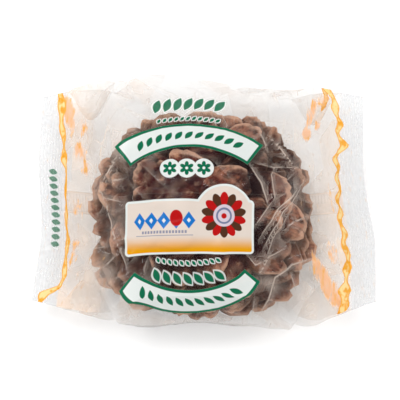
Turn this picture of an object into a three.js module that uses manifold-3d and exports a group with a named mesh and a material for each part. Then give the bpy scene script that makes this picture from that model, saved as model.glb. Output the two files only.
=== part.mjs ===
// A maitake mushroom in its clear film pillow pack, lying on its back panel.
// Millimetres, +Z up. +X runs along the pack from one end seal to the other and +Y across it.
// The origin is on the surface that the pack lies on, under the middle of its box.
// Two pieces: the mushroom, grown as one cluster of fronds on a cut base, and the film round it.
import * as THREE from "three";
import { mergeVertices } from "three/addons/utils/BufferGeometryUtils.js";
import Module from "manifold-3d";

const wasm = await Module();
wasm.setup();

// ---- driving dimensions of the pack -------------------------------------------------------
const PACK_LENGTH = 166; // over both end seals
const PACK_HEIGHT = 54;
// How far each long side reaches across, seen from above, as [x, reach].
const FAR_LINE = [[-83, 51.8], [-71, 54.8], [-47, 59.5], [-30, 63.8], [-8, 61.4], [20, 57.2],
  [43, 55.2], [62, 55.4], [71, 54.6], [83, 51.8]];
const NEAR_LINE = [[-83, 47.8], [-71, 51.4], [-51, 57.2], [-38, 62.6], [-20, 63.8], [8, 63],
  [38, 63.8], [49, 62.4], [60, 57.4], [71, 53.3], [83, 48.2]];
const SEAL_WIDTH = 12; // crimped band at each end, along X
const SEAL_HALF_SPAN = 50; // half of the seal's length, across Y
const SEAL_HEIGHT = 17; // middle of the seal above the surface
const SEAL_HALF_THICKNESS = 0.8; // four plies where the gussets are caught
const WALL = 0.8; // the film, thicker than life so that it is a sound solid
const GUSSET_DEPTH = 17; // how far each side tucks in beside a seal
const GUSSET_FROM = 0.58; // where the tuck begins, as a share of the way to the seal
const GUSSET_SHARPNESS = 1.5;
const CORNERS_SPREAD = [0.35, 0.8]; // where the corners move out to the sides' line
const BACK_LIFTS = [0.5, 1.25]; // where the back panel rises to the seal
const CAVITY_HALF_LENGTH = 63; // where the plies come together
const VENT_RADIUS = 2.5; // punched breathing hole in the back panel
const VENT_SIDES = 12;
const VENT_AT = new THREE.Vector2(36, 24);
// The cross-section at the middle, from the near side (-Y) to the far one: the mushroom lies
// nearer the near side, so the film stands higher there.
const CORNER_REACH = 50; // where the top and bottom panels turn into the sides
const NEAR = { corner: 43, shoulder: [-29, 52.8], side: 22, foot: 3.5, flat: -38 };
const FAR = { corner: 36, shoulder: [27, 50], side: 21, foot: 5, flat: 34 };
const RIDGE_AT = -8; // the highest line of the top panel
const FULL_SHARPNESS = 2.4; // how long the pack stays full on the way to a seal
const FULL_POWER = 0.9;
const SIDE_COUNTS = { top: 10, far: 4, bottom: 8, near: 4 };
const END_SKEW = 0.053; // the far ends of the seals stand this share of their place further in
const BODY_STATIONS = [10, 20, 30, 38, 44, 49, 53, 57, 60]; // sections each side of the middle
const END_STATIONS = [63, 66, 69]; // and of the closed ends, up to the seals

// ---- driving dimensions of the mushroom ---------------------------------------------------
const REST_GAP = 0.3; // between the cut base and the film under it
const BASE_HEIGHT = WALL + REST_GAP;
const CLUSTER = {
  centre: new THREE.Vector3(-0.5, -7.7, 17), // middle of the widest ring of caps
  radius: new THREE.Vector3(56, 52, 35), // reach of the caps along X, Y and up
  below: 17, // how fast the cluster draws in under that ring
  roundness: 2.3, // 2 is an ellipsoid, more is boxier
};
const TRUNK_PROFILE = [[0, 0], [19, 0], [22.5, 3], [22, 10], [25, 18], [22, 28], [14, 36], [0, 39]];
const TRUNK_SIDES = 14;
const TRUNK_LUMP = 0.09; // share of the radius

// The fronds spread over the dome from its rim to its crown, each a golden angle on from the last.
const FROND_COUNT = 44;
const GOLDEN_ANGLE = Math.PI * (3 - Math.sqrt(5));
const FIRST_TURN = 0.3; // direction of the first frond
const FINEST = 0.03; // what the joined surface may move by where its smallest faces are merged
const RIM_HEIGHT = 13; // of the lowest caps' edges
const CROWN_HEIGHT = 53; // of the highest ones
const SHOULDER = 0.8; // 1 spreads them on an ellipse, less makes it fuller
const ROOT_HEIGHT = [5, 17]; // where stalks leave the trunk, for the lowest and the highest frond
const ROOT_REACH = [13, 2]; // and how far from its axis
const CAP_WIDTH = [32, 23];
const CURL = [[-9, 6], [3, 11]]; // how far the cap's back stands above its edge, at rim and crown
const STALK_HALF_WIDTH = 3.8;
const STALK_HALF_THICKNESS = 2.8;
const CAP_HALF_THICKNESS = 1.7;
const FROND_STEPS = [0, 0.34, 0.6, 0.82, 1]; // along a frond, root to edge
const FROND_SPAN = [-1, -0.8, -0.52, -0.25, 0, 0.25, 0.52, 0.8, 1]; // across it

// ---- small helpers ------------------------------------------------------------------------
const clamp01 = (value) => Math.min(1, Math.max(0, value));
const smooth = (low, high, value) => {
  const share = clamp01((value - low) / (high - low));
  return share * share * (3 - 2 * share);
};
const mix = (from, to, share) => from + (to - from) * share;

// A repeatable draw between 0 and 1 for one frond and one purpose.
const draw = (frond, purpose) => {
  const wave = Math.sin(frond * 127.1 + purpose * 311.7) * 43758.5453;
  return wave - Math.floor(wave);
};

function solidFrom(geometry) {
  const bare = new THREE.BufferGeometry().setAttribute("position", geometry.getAttribute("position"));
  bare.setIndex(geometry.getIndex());
  const merged = mergeVertices(bare, 1e-4);
  return new wasm.Manifold(new wasm.Mesh({
    numProp: 3,
    vertProperties: new Float32Array(merged.attributes.position.array),
    triVerts: new Uint32Array(merged.index.array),
  }));
}

function geometryFrom(solid) {
  const mesh = solid.getMesh();
  const geometry = new THREE.BufferGeometry();
  geometry.setAttribute("position", new THREE.BufferAttribute(mesh.vertProperties, 3));
  geometry.setIndex(new THREE.BufferAttribute(mesh.triVerts, 1));
  geometry.computeVertexNormals();
  return geometry;
}

// Closed surface through rows of points: each row is a loop, and a fan closes each end.
// The two halves of a loop are split into triangles alike, so that a thin blade's faces match.
function loftLoops(loops) {
  const around = loops[0].length;
  const positions = loops.flat().flatMap((point) => point.toArray());
  const faces = [];
  for (let row = 0; row + 1 < loops.length; row += 1) {
    for (let k = 0; k < around; k += 1) {
      const next = (k + 1) % around;
      const [a, b] = [row * around + k, row * around + next];
      if (2 * k < around) faces.push(a, b + around, b, a, a + around, b + around);
      else faces.push(a, a + around, b, b, a + around, b + around);
    }
  }
  [0, loops.length - 1].forEach((row, end) => {
    const middle = loops[row].reduce((sum, point) => sum.add(point), new THREE.Vector3());
    middle.divideScalar(around);
    const hub = positions.length / 3;
    positions.push(...middle.toArray());
    for (let k = 0; k < around; k += 1) {
      const [a, b] = [row * around + k, row * around + ((k + 1) % around)];
      faces.push(...(end ? [b, a, hub] : [a, b, hub]));
    }
  });
  const geometry = new THREE.BufferGeometry();
  geometry.setAttribute("position", new THREE.Float32BufferAttribute(positions, 3));
  geometry.setIndex(faces);
  return geometry;
}

// ---- the mushroom -------------------------------------------------------------------------
// Draws a point back inside the dome that the cluster fills, leaving room for its own thickness.
function insideCluster(point, room) {
  const { centre, radius, below, roundness } = CLUSTER;
  const offset = point.clone().sub(centre);
  const reach = [radius.x - room, radius.y - room, (offset.z > 0 ? radius.z : below) - room];
  const share = offset.toArray().reduce(
    (sum, value, k) => sum + Math.abs(value / reach[k]) ** roundness, 0) ** (1 / roundness);
  if (share > 1) offset.divideScalar(share);
  const held = offset.add(centre);
  held.z = Math.max(held.z, BASE_HEIGHT + room);
  return held;
}

// The fronds of the whole cluster, each with its own turn, size and ruffle.
function frondList() {
  return Array.from({ length: FROND_COUNT }, (_, k) => {
    const id = k + 1;
    const height = (k + 0.5) / FROND_COUNT; // 0 at the rim, 1 at the crown
    const between = ([rim, crown]) => mix(rim, crown, height);
    const climb = Math.asin(clamp01(height * mix(0.9, 1.06, draw(id, 1)) - 0.02));
    return {
      turn: FIRST_TURN + k * GOLDEN_ANGLE + mix(-0.12, 0.12, draw(id, 2)),
      climb,
      root: between(ROOT_HEIGHT),
      rootReach: between(ROOT_REACH),
      width: between(CAP_WIDTH) * mix(0.74, 1.18, draw(id, 3)),
      curl: mix(...CURL.map((ends) => mix(...ends, draw(id, 4))), height),
      short: mix(0, 4, draw(id, 5)),
      ruffle: mix(0.8, 1.9, draw(id, 6)),
      phase: 2 * Math.PI * draw(id, 7),
      lean: mix(-0.25, 0.25, draw(id, 8)),
      droop: mix(0.05, 0.22, draw(id, 9)),
    };
  });
}

// A point of a frond's middle surface, with its normal and half thickness.
// along runs from 0 at the root to 1 at the edge, across from -1 to 1.
function frondPoint(frond, along, across) {
  const { centre, radius } = CLUSTER;
  const fan = smooth(0.28, 0.8, along);
  const shoulder = Math.abs(across) ** 2.6;
  const lobe = 0.035 * smooth(0.6, 1, along) * Math.cos(2.2 * Math.PI * across + frond.phase);
  const run = along * (1 - 0.34 * shoulder * fan) + lobe * (1 - shoulder);
  const outward = new THREE.Vector3(Math.cos(frond.turn), Math.sin(frond.turn), 0);
  const sideways = new THREE.Vector3(-outward.y, outward.x, 0);
  const rim = (Math.hypot(radius.x * outward.x, radius.y * outward.y) - frond.short);
  const edge = new THREE.Vector2(rim * Math.cos(frond.climb) ** SHOULDER,
    RIM_HEIGHT + (CROWN_HEIGHT - RIM_HEIGHT - frond.short) * Math.sin(frond.climb) ** SHOULDER);
  const root = new THREE.Vector2(frond.rootReach, frond.root);
  const bend = new THREE.Vector2(mix(root.x, edge.x, 0.42), edge.y + frond.curl);
  const back = 1 - run;
  const spine = root.clone().multiplyScalar(back * back)
    .addScaledVector(bend, 2 * back * run).addScaledVector(edge, run * run);
  const heading = bend.clone().sub(root).multiplyScalar(2 * back)
    .addScaledVector(edge.clone().sub(bend), 2 * run).normalize();
  const normal = outward.clone().multiplyScalar(-heading.y);
  normal.z = heading.x;
  normal.addScaledVector(sideways, frond.lean * fan).normalize();
  const halfWidth = mix(STALK_HALF_WIDTH, frond.width / 2, fan)
    * (1 - 0.14 * shoulder * smooth(0.7, 1, along));
  const edgeShare = smooth(0.45, 1, along);
  const lift = frond.ruffle * edgeShare * Math.sin(2.2 * Math.PI * across + frond.phase)
    - frond.droop * frond.width * across * across * edgeShare * 0.5;
  const thickness = mix(STALK_HALF_THICKNESS, CAP_HALF_THICKNESS, smooth(0.25, 0.6, along))
    * (1 - 0.5 * across * across) * (1 - 0.4 * smooth(0.8, 1, along));
  const point = new THREE.Vector3(centre.x, centre.y, spine.y)
    .addScaledVector(outward, spine.x)
    .addScaledVector(sideways, halfWidth * across + frond.lean * 6 * fan)
    .addScaledVector(normal, lift);
  return { point: insideCluster(point, thickness), normal, thickness };
}

// One frond as a closed blade: loops round the stalk and cap from root to edge.
function frondGeometry(frond) {
  const loops = FROND_STEPS.map((along) => {
    const row = FROND_SPAN.map((across) => frondPoint(frond, along, across));
    const upper = row.map(({ point, normal, thickness }) =>
      point.clone().addScaledVector(normal, thickness));
    const lower = row.map(({ point, normal, thickness }) =>
      point.clone().addScaledVector(normal, -thickness));
    return [...upper, ...lower.reverse()];
  });
  return loftLoops(loops);
}

function trunkGeometry() {
  const profile = TRUNK_PROFILE.map(([radius, height]) => new THREE.Vector2(radius, height));
  const lathe = new THREE.LatheGeometry(profile, TRUNK_SIDES);
  lathe.rotateX(Math.PI / 2);
  const places = lathe.getAttribute("position");
  const point = new THREE.Vector3();
  for (let k = 0; k < places.count; k += 1) {
    point.fromBufferAttribute(places, k);
    const turn = Math.atan2(point.y, point.x);
    const swell = 1 + TRUNK_LUMP * Math.sin(3 * turn + 0.15 * point.z);
    places.setXYZ(k, point.x * swell, point.y * swell, point.z);
  }
  return lathe.translate(CLUSTER.centre.x, CLUSTER.centre.y, BASE_HEIGHT);
}

// The largest body of a solid, with the pockets sealed inside it filled.
function mainBody(solid) {
  return solid.decompose().reduce((kept, body) => (body.volume() > kept.volume() ? body : kept));
}

function maitakeCluster() {
  const fronds = frondList().map((frond) => solidFrom(frondGeometry(frond)));
  const cluster = wasm.Manifold.union([solidFrom(trunkGeometry()), ...fronds]);
  return geometryFrom(solidFrom(geometryFrom(mainBody(cluster))).simplify(FINEST));
}

// ---- the film pack ------------------------------------------------------------------------
const END = PACK_LENGTH / 2 - SEAL_WIDTH; // where each seal begins

// How full the pack is at x: 1 at the middle, 0 at a seal.
const fullness = (x) => Math.max(0, 1 - Math.abs(x / END) ** FULL_SHARPNESS) ** FULL_POWER;

// How far one long side reaches across at x, straight between the places of its line.
function reachAt(line, x) {
  const next = Math.max(1, line.findIndex(([place]) => place >= x));
  const [[from, start], [to, end]] = [line[next - 1], line[next]];
  return mix(start, end, (x - from) / (to - from));
}

// The corners and middles of the pack's cross-section at x, as [y, z]. The sides tuck in as
// gussets towards the seals, and the panels close on each other there.
function sectionKeys(x) {
  const away = Math.min(1, Math.abs(x) / END);
  const tucked = clamp01((away - GUSSET_FROM) / (1 - GUSSET_FROM));
  const tuck = GUSSET_DEPTH * Math.sin(Math.PI * tucked) ** GUSSET_SHARPNESS;
  const [farReach, nearReach] = [reachAt(FAR_LINE, x), reachAt(NEAR_LINE, x)];
  const spread = smooth(...CORNERS_SPREAD, away);
  const farCorner = mix(CORNER_REACH, farReach, spread);
  const nearCorner = mix(CORNER_REACH, nearReach, spread);
  const above = (height) => mix(SEAL_HEIGHT + SEAL_HALF_THICKNESS, height, fullness(x));
  const under = (height) => mix(height, SEAL_HEIGHT - SEAL_HALF_THICKNESS,
    smooth(...BACK_LIFTS, away) / smooth(...BACK_LIFTS, 1));
  const beside = (height) => mix(height, SEAL_HEIGHT, away);
  const topOf = ({ shoulder: [y, height] }) => [y, above(height)];
  const nearTop = [-nearCorner, above(NEAR.corner)];
  const nearFoot = [-nearCorner, under(NEAR.foot)];
  const farTop = [farCorner, above(FAR.corner)];
  const farFoot = [farCorner, under(FAR.foot)];
  return {
    top: [nearTop, topOf(NEAR), [RIDGE_AT, above(PACK_HEIGHT)], topOf(FAR), farTop],
    far: [farTop, [farReach - tuck, beside(FAR.side)], farFoot],
    bottom: [farFoot, [FAR.flat, under(0)], [0, under(0)], [NEAR.flat, under(0)], nearFoot],
    near: [nearFoot, [tuck - nearReach, beside(NEAR.side)], nearTop],
  };
}

// One cross-section as a loop of [y, z] points, with its four corners kept.
function sectionLoop(x) {
  const keys = sectionKeys(x);
  const floor = keys.bottom[2][1];
  return Object.entries(SIDE_COUNTS).flatMap(([side, count]) => {
    const curve = new THREE.SplineCurve(keys[side].map(([y, z]) => new THREE.Vector2(y, z)));
    const points = curve.getPoints(count).slice(0, count);
    return points.map((point) => new THREE.Vector2(point.x, Math.max(point.y, floor)));
  });
}
// The same loop moved inwards by a wall, mitred at each point.
function movedInwards(loop, wall) {
  const normalOf = (from, to) => {
    const edge = to.clone().sub(from).normalize();
    return new THREE.Vector2(edge.y, -edge.x);
  };
  return loop.map((point, k) => {
    const before = normalOf(loop.at(k - 1), point);
    const after = normalOf(point, loop[(k + 1) % loop.length]);
    const miter = before.clone().add(after).divideScalar(1 + before.dot(after));
    return point.clone().addScaledVector(miter, wall);
  });
}

function packSurface(stations, wall) {
  const loops = stations.map((x) => {
    const loop = sectionLoop(x);
    const held = wall ? movedInwards(loop, wall) : loop;
    const skew = END_SKEW * smooth(0.45, 1, Math.abs(x) / END);
    return held.map(({ x: y, y: z }) =>
      new THREE.Vector3(x * (1 - skew * (0.5 + y / (2 * SEAL_HALF_SPAN))), y, z));
  });
  return loftLoops(loops);
}

function mirrored(distances) {
  return [...distances.map((x) => -x).reverse(), 0, ...distances];
}

function filmPack() {
  const ends = [...END_STATIONS, END, PACK_LENGTH / 2];
  const outer = solidFrom(packSurface(mirrored([...BODY_STATIONS, ...ends]), 0));
  const cavity = solidFrom(packSurface(mirrored([...BODY_STATIONS, CAVITY_HALF_LENGTH]), WALL));
  const vent = new THREE.CylinderGeometry(VENT_RADIUS, VENT_RADIUS, 3 * WALL, VENT_SIDES);
  vent.rotateX(Math.PI / 2).translate(VENT_AT.x, VENT_AT.y, WALL / 2);
  return geometryFrom(outer.subtract(cavity).subtract(solidFrom(vent)));
}

// ---- the assembly -------------------------------------------------------------------------
const part = new THREE.Group();

function addPiece(name, geometry, look) {
  const mesh = new THREE.Mesh(geometry, new THREE.MeshStandardMaterial(look));
  mesh.name = name;
  part.add(mesh);
}

addPiece("maitake_cluster", maitakeCluster(), { color: 0x80624a, roughness: 0.75, metalness: 0 });
addPiece("film_pack", filmPack(), {
  color: 0xf2f0ea, roughness: 0.12, metalness: 0, transparent: true, opacity: 0.25,
});

export default part;
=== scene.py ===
"""A maitake mushroom in its printed clear film pack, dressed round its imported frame.

Lengths are written in millimetres and turned into Blender's metres where a mesh is made.
"""

import logging
import math
from collections.abc import Iterable
from dataclasses import dataclass, field
from enum import Enum
from typing import Any

import bmesh
import bpy
import numpy as np
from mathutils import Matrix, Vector, noise
from mathutils.bvhtree import BVHTree


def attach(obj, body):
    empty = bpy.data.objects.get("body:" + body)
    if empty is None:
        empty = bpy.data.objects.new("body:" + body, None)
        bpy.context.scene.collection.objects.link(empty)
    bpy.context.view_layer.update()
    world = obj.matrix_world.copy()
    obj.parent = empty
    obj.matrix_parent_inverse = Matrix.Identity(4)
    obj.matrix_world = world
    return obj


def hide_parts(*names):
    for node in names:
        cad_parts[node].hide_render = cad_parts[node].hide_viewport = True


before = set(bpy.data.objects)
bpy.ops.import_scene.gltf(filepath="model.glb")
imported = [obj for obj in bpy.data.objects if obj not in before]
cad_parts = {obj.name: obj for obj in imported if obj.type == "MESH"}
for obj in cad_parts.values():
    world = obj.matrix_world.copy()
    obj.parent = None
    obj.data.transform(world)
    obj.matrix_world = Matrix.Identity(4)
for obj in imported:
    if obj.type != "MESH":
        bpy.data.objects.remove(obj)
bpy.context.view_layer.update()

log = logging.getLogger("maitake_pack")

MM = 0.001
BODY = "root"

Pair = tuple[float, float]
Line = tuple[Pair, ...]
Colour = tuple[float, float, float]
Number = float | np.ndarray


class Node(Enum):
    """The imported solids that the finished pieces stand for."""

    CLUSTER = "maitake_cluster"
    FILM = "film_pack"


class Slot(Enum):
    """The record's material slots."""

    FLESH = "maitake_flesh"
    FILM = "clear_film"


# ---------------------------------------------------------------------------------------------
# Small numeric helpers
# ---------------------------------------------------------------------------------------------


def mix(start: Number, end: Number, share: Number) -> Number:
    """Blend from start to end by share."""
    return start + (end - start) * share


def smooth(low: float, high: float, value: Number) -> Number:
    """Rise gently from 0 at low to 1 at high.

    Args:
        low: The value where the rise starts.
        high: The value where it ends.
        value: A number or an array.

    Returns:
        The share, of the same kind as value.
    """
    share = np.clip((value - low) / (high - low), 0.0, 1.0)
    return share * share * (3 - 2 * share)


def draw(item: int, purpose: int) -> float:
    """Give a repeatable number between 0 and 1 for one item and one purpose."""
    wave = math.sin(item * 127.1 + purpose * 311.7) * 43758.5453
    return wave - math.floor(wave)


def drawn(span: Pair, item: int, purpose: int) -> float:
    """Draw a repeatable number within span."""
    return mix(*span, draw(item, purpose))


def linear(red: int, green: int, blue: int) -> Colour:
    """Turn a screen colour into the linear one that shaders take.

    Args:
        red: From 0 to 255.
        green: From 0 to 255.
        blue: From 0 to 255.

    Returns:
        The colour's three parts, from 0 to 1.
    """

    def channel(value: int) -> float:
        """Turn one channel into linear light."""
        share = value / 255
        return share / 12.92 if share <= 0.04045 else ((share + 0.055) / 1.055) ** 2.4

    return channel(red), channel(green), channel(blue)


# ---------------------------------------------------------------------------------------------
# Shader nodes as Python expressions
# ---------------------------------------------------------------------------------------------

Socket = bpy.types.NodeSocket


class Wire:
    """A number on its way through a material's nodes, with Python's operators."""

    def __init__(self, graph: "Graph", socket: Socket) -> None:
        """Wrap a socket of one of graph's nodes."""
        self.graph = graph
        self.socket = socket

    def _math(self, operation: str, first: "Term", second: "Term | None" = None) -> "Wire":
        """Add a Math node.

        Args:
            operation: What the node does.
            first: Its first number.
            second: Its second number, if it takes one.

        Returns:
            Its result.
        """
        values = {0: first} if second is None else {0: first, 1: second}
        node = self.graph.node("ShaderNodeMath", {"operation": operation}, values)
        return Wire(self.graph, node.outputs[0])

    def __add__(self, other: "Term") -> "Wire":
        """Add."""
        return self._math("ADD", self, other)

    def __sub__(self, other: "Term") -> "Wire":
        """Take other away."""
        return self._math("SUBTRACT", self, other)

    def __rsub__(self, other: "Term") -> "Wire":
        """Take this away from other."""
        return self._math("SUBTRACT", other, self)

    def __mul__(self, other: "Term") -> "Wire":
        """Multiply."""
        return self._math("MULTIPLY", self, other)

    def __truediv__(self, other: "Term") -> "Wire":
        """Divide by other."""
        return self._math("DIVIDE", self, other)

    def __abs__(self) -> "Wire":
        """Drop the sign."""
        return self._math("ABSOLUTE", self)

    def low(self, other: "Term") -> "Wire":
        """Give the smaller of the two."""
        return self._math("MINIMUM", self, other)

    def high(self, other: "Term") -> "Wire":
        """Give the larger of the two."""
        return self._math("MAXIMUM", self, other)

    def sine(self) -> "Wire":
        """Give the sine."""
        return self._math("SINE", self)

    def cosine(self) -> "Wire":
        """Give the cosine."""
        return self._math("COSINE", self)

    def root(self) -> "Wire":
        """Give the square root."""
        return self._math("SQRT", self)

    def whole(self) -> "Wire":
        """Give the nearest whole number."""
        return self._math("ROUND", self)

    def over(self, edge: float, blur: float) -> "Wire":
        """Give 0 below edge and 1 above it, over a width of blur."""
        return self.graph.ramp(self, edge - blur / 2, edge + blur / 2)

    def under(self, edge: float, blur: float) -> "Wire":
        """Give 1 below edge and 0 above it, over a width of blur."""
        return self.graph.ramp(self, edge + blur / 2, edge - blur / 2)


Term = float | Wire
Tint = Colour | Socket


class Graph:
    """The node tree of one material."""

    def __init__(self, name: str) -> None:
        """Start an empty material.

        Args:
            name: The material's name.
        """
        self.material = bpy.data.materials.new(name)
        self.material.use_nodes = True
        self.tree = self.material.node_tree
        self.tree.nodes.clear()

    def node(self, kind: str, settings: dict[str, Any] | None = None,
             sockets: dict[str | int, Any] | None = None) -> bpy.types.Node:
        """Add a node.

        Args:
            kind: The node's type.
            settings: Its own settings, set before anything is linked.
            sockets: What each input holds: a wire, a socket or a plain value.

        Returns:
            The new node.
        """
        node = self.tree.nodes.new(kind)
        for name, value in (settings or {}).items():
            setattr(node, name, value)
        for name, value in (sockets or {}).items():
            socket = node.inputs[name]
            if isinstance(value, Wire):
                value = value.socket
            if isinstance(value, Socket):
                self.tree.links.new(value, socket)
            elif socket.type == "RGBA" and len(value) == 3:
                socket.default_value = (*value, 1.0)
            else:
                socket.default_value = value
        return node

    def wire(self, kind: str, settings: dict[str, Any] | None,
             sockets: dict[str | int, Any] | None, output: str = "Fac") -> Wire:
        """Add a node and give one of its outputs as a number."""
        return Wire(self, self.node(kind, settings, sockets).outputs[output])

    def ramp(self, value: Wire, start: float, end: float, low: float = 0.0,
             high: float = 1.0) -> Wire:
        """Map a number gently from one range onto another, held at both ends.

        Args:
            value: The number.
            start: Where it gives low.
            end: Where it gives high.
            low: The result at start.
            high: The result at end.

        Returns:
            The result.
        """
        sockets = {"Value": value, "From Min": start, "From Max": end, "To Min": low, "To Max": high}
        return self.wire("ShaderNodeMapRange", {"interpolation_type": "SMOOTHSTEP"}, sockets, "Result")

    def colour(self, share: Term, first: Tint, second: Tint) -> Socket:
        """Mix two colours by share."""
        sockets = {0: share, 6: first, 7: second}
        return self.node("ShaderNodeMix", {"data_type": "RGBA"}, sockets).outputs[2]

    def split(self, vector: Socket) -> tuple[Wire, ...]:
        """Give a vector's three parts as numbers."""
        node = self.node("ShaderNodeSeparateXYZ", None, {0: vector})
        return tuple(Wire(self, socket) for socket in node.outputs)

    def join(self, x: Term, y: Term, z: Term) -> Socket:
        """Give a vector made of three numbers."""
        return self.node("ShaderNodeCombineXYZ", None, {0: x, 1: y, 2: z}).outputs[0]

    def blend(self, share: Term, first: Socket, second: Socket) -> Socket:
        """Mix two shaders by share."""
        return self.node("ShaderNodeMixShader", None, {0: share, 1: first, 2: second}).outputs[0]

    def bump(self, height: Wire, strength: float, distance: float,
             under: Socket | None = None) -> Socket:
        """Give the normal of a rough surface.

        Args:
            height: The surface's height.
            strength: How strongly it shows.
            distance: What a height of 1 measures, in metres.
            under: An earlier normal that it lies on.

        Returns:
            The normal.
        """
        sockets = {"Height": height, "Strength": strength, "Distance": distance}
        if under is not None:
            sockets["Normal"] = under
        return self.node("ShaderNodeBump", None, sockets).outputs[0]

    def object_place(self) -> Socket:
        """Give the Object coordinates."""
        return self.node("ShaderNodeTexCoord").outputs["Object"]

    def attribute(self, name: str) -> Wire:
        """Give a mesh attribute as a number."""
        return self.wire("ShaderNodeAttribute", {"attribute_name": name}, None)

    def noise(self, place: Socket, scale: float, detail: float = 3.0,
              rough: float = 0.55) -> Wire:
        """Give a cloudy pattern.

        Args:
            place: Where it is read.
            scale: How many clouds there are to a unit.
            detail: How many finer layers it has.
            rough: How strong each finer layer is.

        Returns:
            The pattern, between 0 and 1.
        """
        sockets = {"Vector": place, "Scale": scale, "Detail": detail, "Roughness": rough}
        return self.wire("ShaderNodeTexNoise", None, sockets)

    def finish(self, surface: Socket) -> bpy.types.Material:
        """Join surface to the output and give the material."""
        self.node("ShaderNodeOutputMaterial", None, {"Surface": surface})
        return self.material


# ---------------------------------------------------------------------------------------------
# Meshes
# ---------------------------------------------------------------------------------------------


def object_from(name: str, mesh: bmesh.types.BMesh,
                material: bpy.types.Material) -> bpy.types.Object:
    """Turn a bmesh into a scene object with one material and smooth faces.

    Args:
        name: The piece's name.
        mesh: The bmesh, which is used up.
        material: Its finish.

    Returns:
        The object, at the origin.
    """
    for face in mesh.faces:
        face.smooth = True
    data = bpy.data.meshes.new(name)
    mesh.to_mesh(data)
    mesh.free()
    data.materials.append(material)
    piece = bpy.data.objects.new(name, data)
    bpy.context.scene.collection.objects.link(piece)
    return piece


def hand_over(piece: bpy.types.Object, node: Node) -> None:
    """Put a piece on the part's one body, in place of a solid.

    Args:
        piece: The piece.
        node: The solid that it stands for.
    """
    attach(piece, BODY)
    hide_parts(node.value)
    log.info("%s: %d faces, for %s", piece.name, len(piece.data.polygons), node.value)


def tree_of(pieces: Iterable[bpy.types.Object]) -> BVHTree:
    """Gather the faces of several pieces in one search tree.

    Args:
        pieces: The pieces, all at the origin.

    Returns:
        The tree, in metres.
    """
    verts, faces = [], []
    for piece in pieces:
        start = len(verts)
        verts += [tuple(vert.co) for vert in piece.data.vertices]
        faces += [[start + k for k in polygon.vertices] for polygon in piece.data.polygons]
    return BVHTree.FromPolygons(verts, faces)


# ---------------------------------------------------------------------------------------------
# The mushroom
# ---------------------------------------------------------------------------------------------


class Mark(Enum):
    """What each point of a frond knows of its own place."""

    ALONG = "along"
    ACROSS = "across"
    UNDER = "under"
    TONE = "tone"
    # How far inside the cluster a point lies, which sets the painted shade in its hollows.
    DEEP = "deep"


@dataclass(frozen=True)
class Coat:
    """A colour laid where a pattern passes between two levels, or just as the pattern goes."""

    pattern: str
    levels: Pair | None
    strength: float
    colour: Colour

    def over(self, graph: Graph, base: Tint, patterns: dict[str, Wire]) -> Socket:
        """Lay the coat.

        Args:
            graph: The material's graph.
            base: The colour under the coat.
            patterns: The patterns by name.

        Returns:
            The colour with its coat.
        """
        share = patterns[self.pattern]
        if self.levels is not None:
            share = graph.ramp(share, *self.levels)
        return graph.colour(share * self.strength, base, self.colour)


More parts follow.
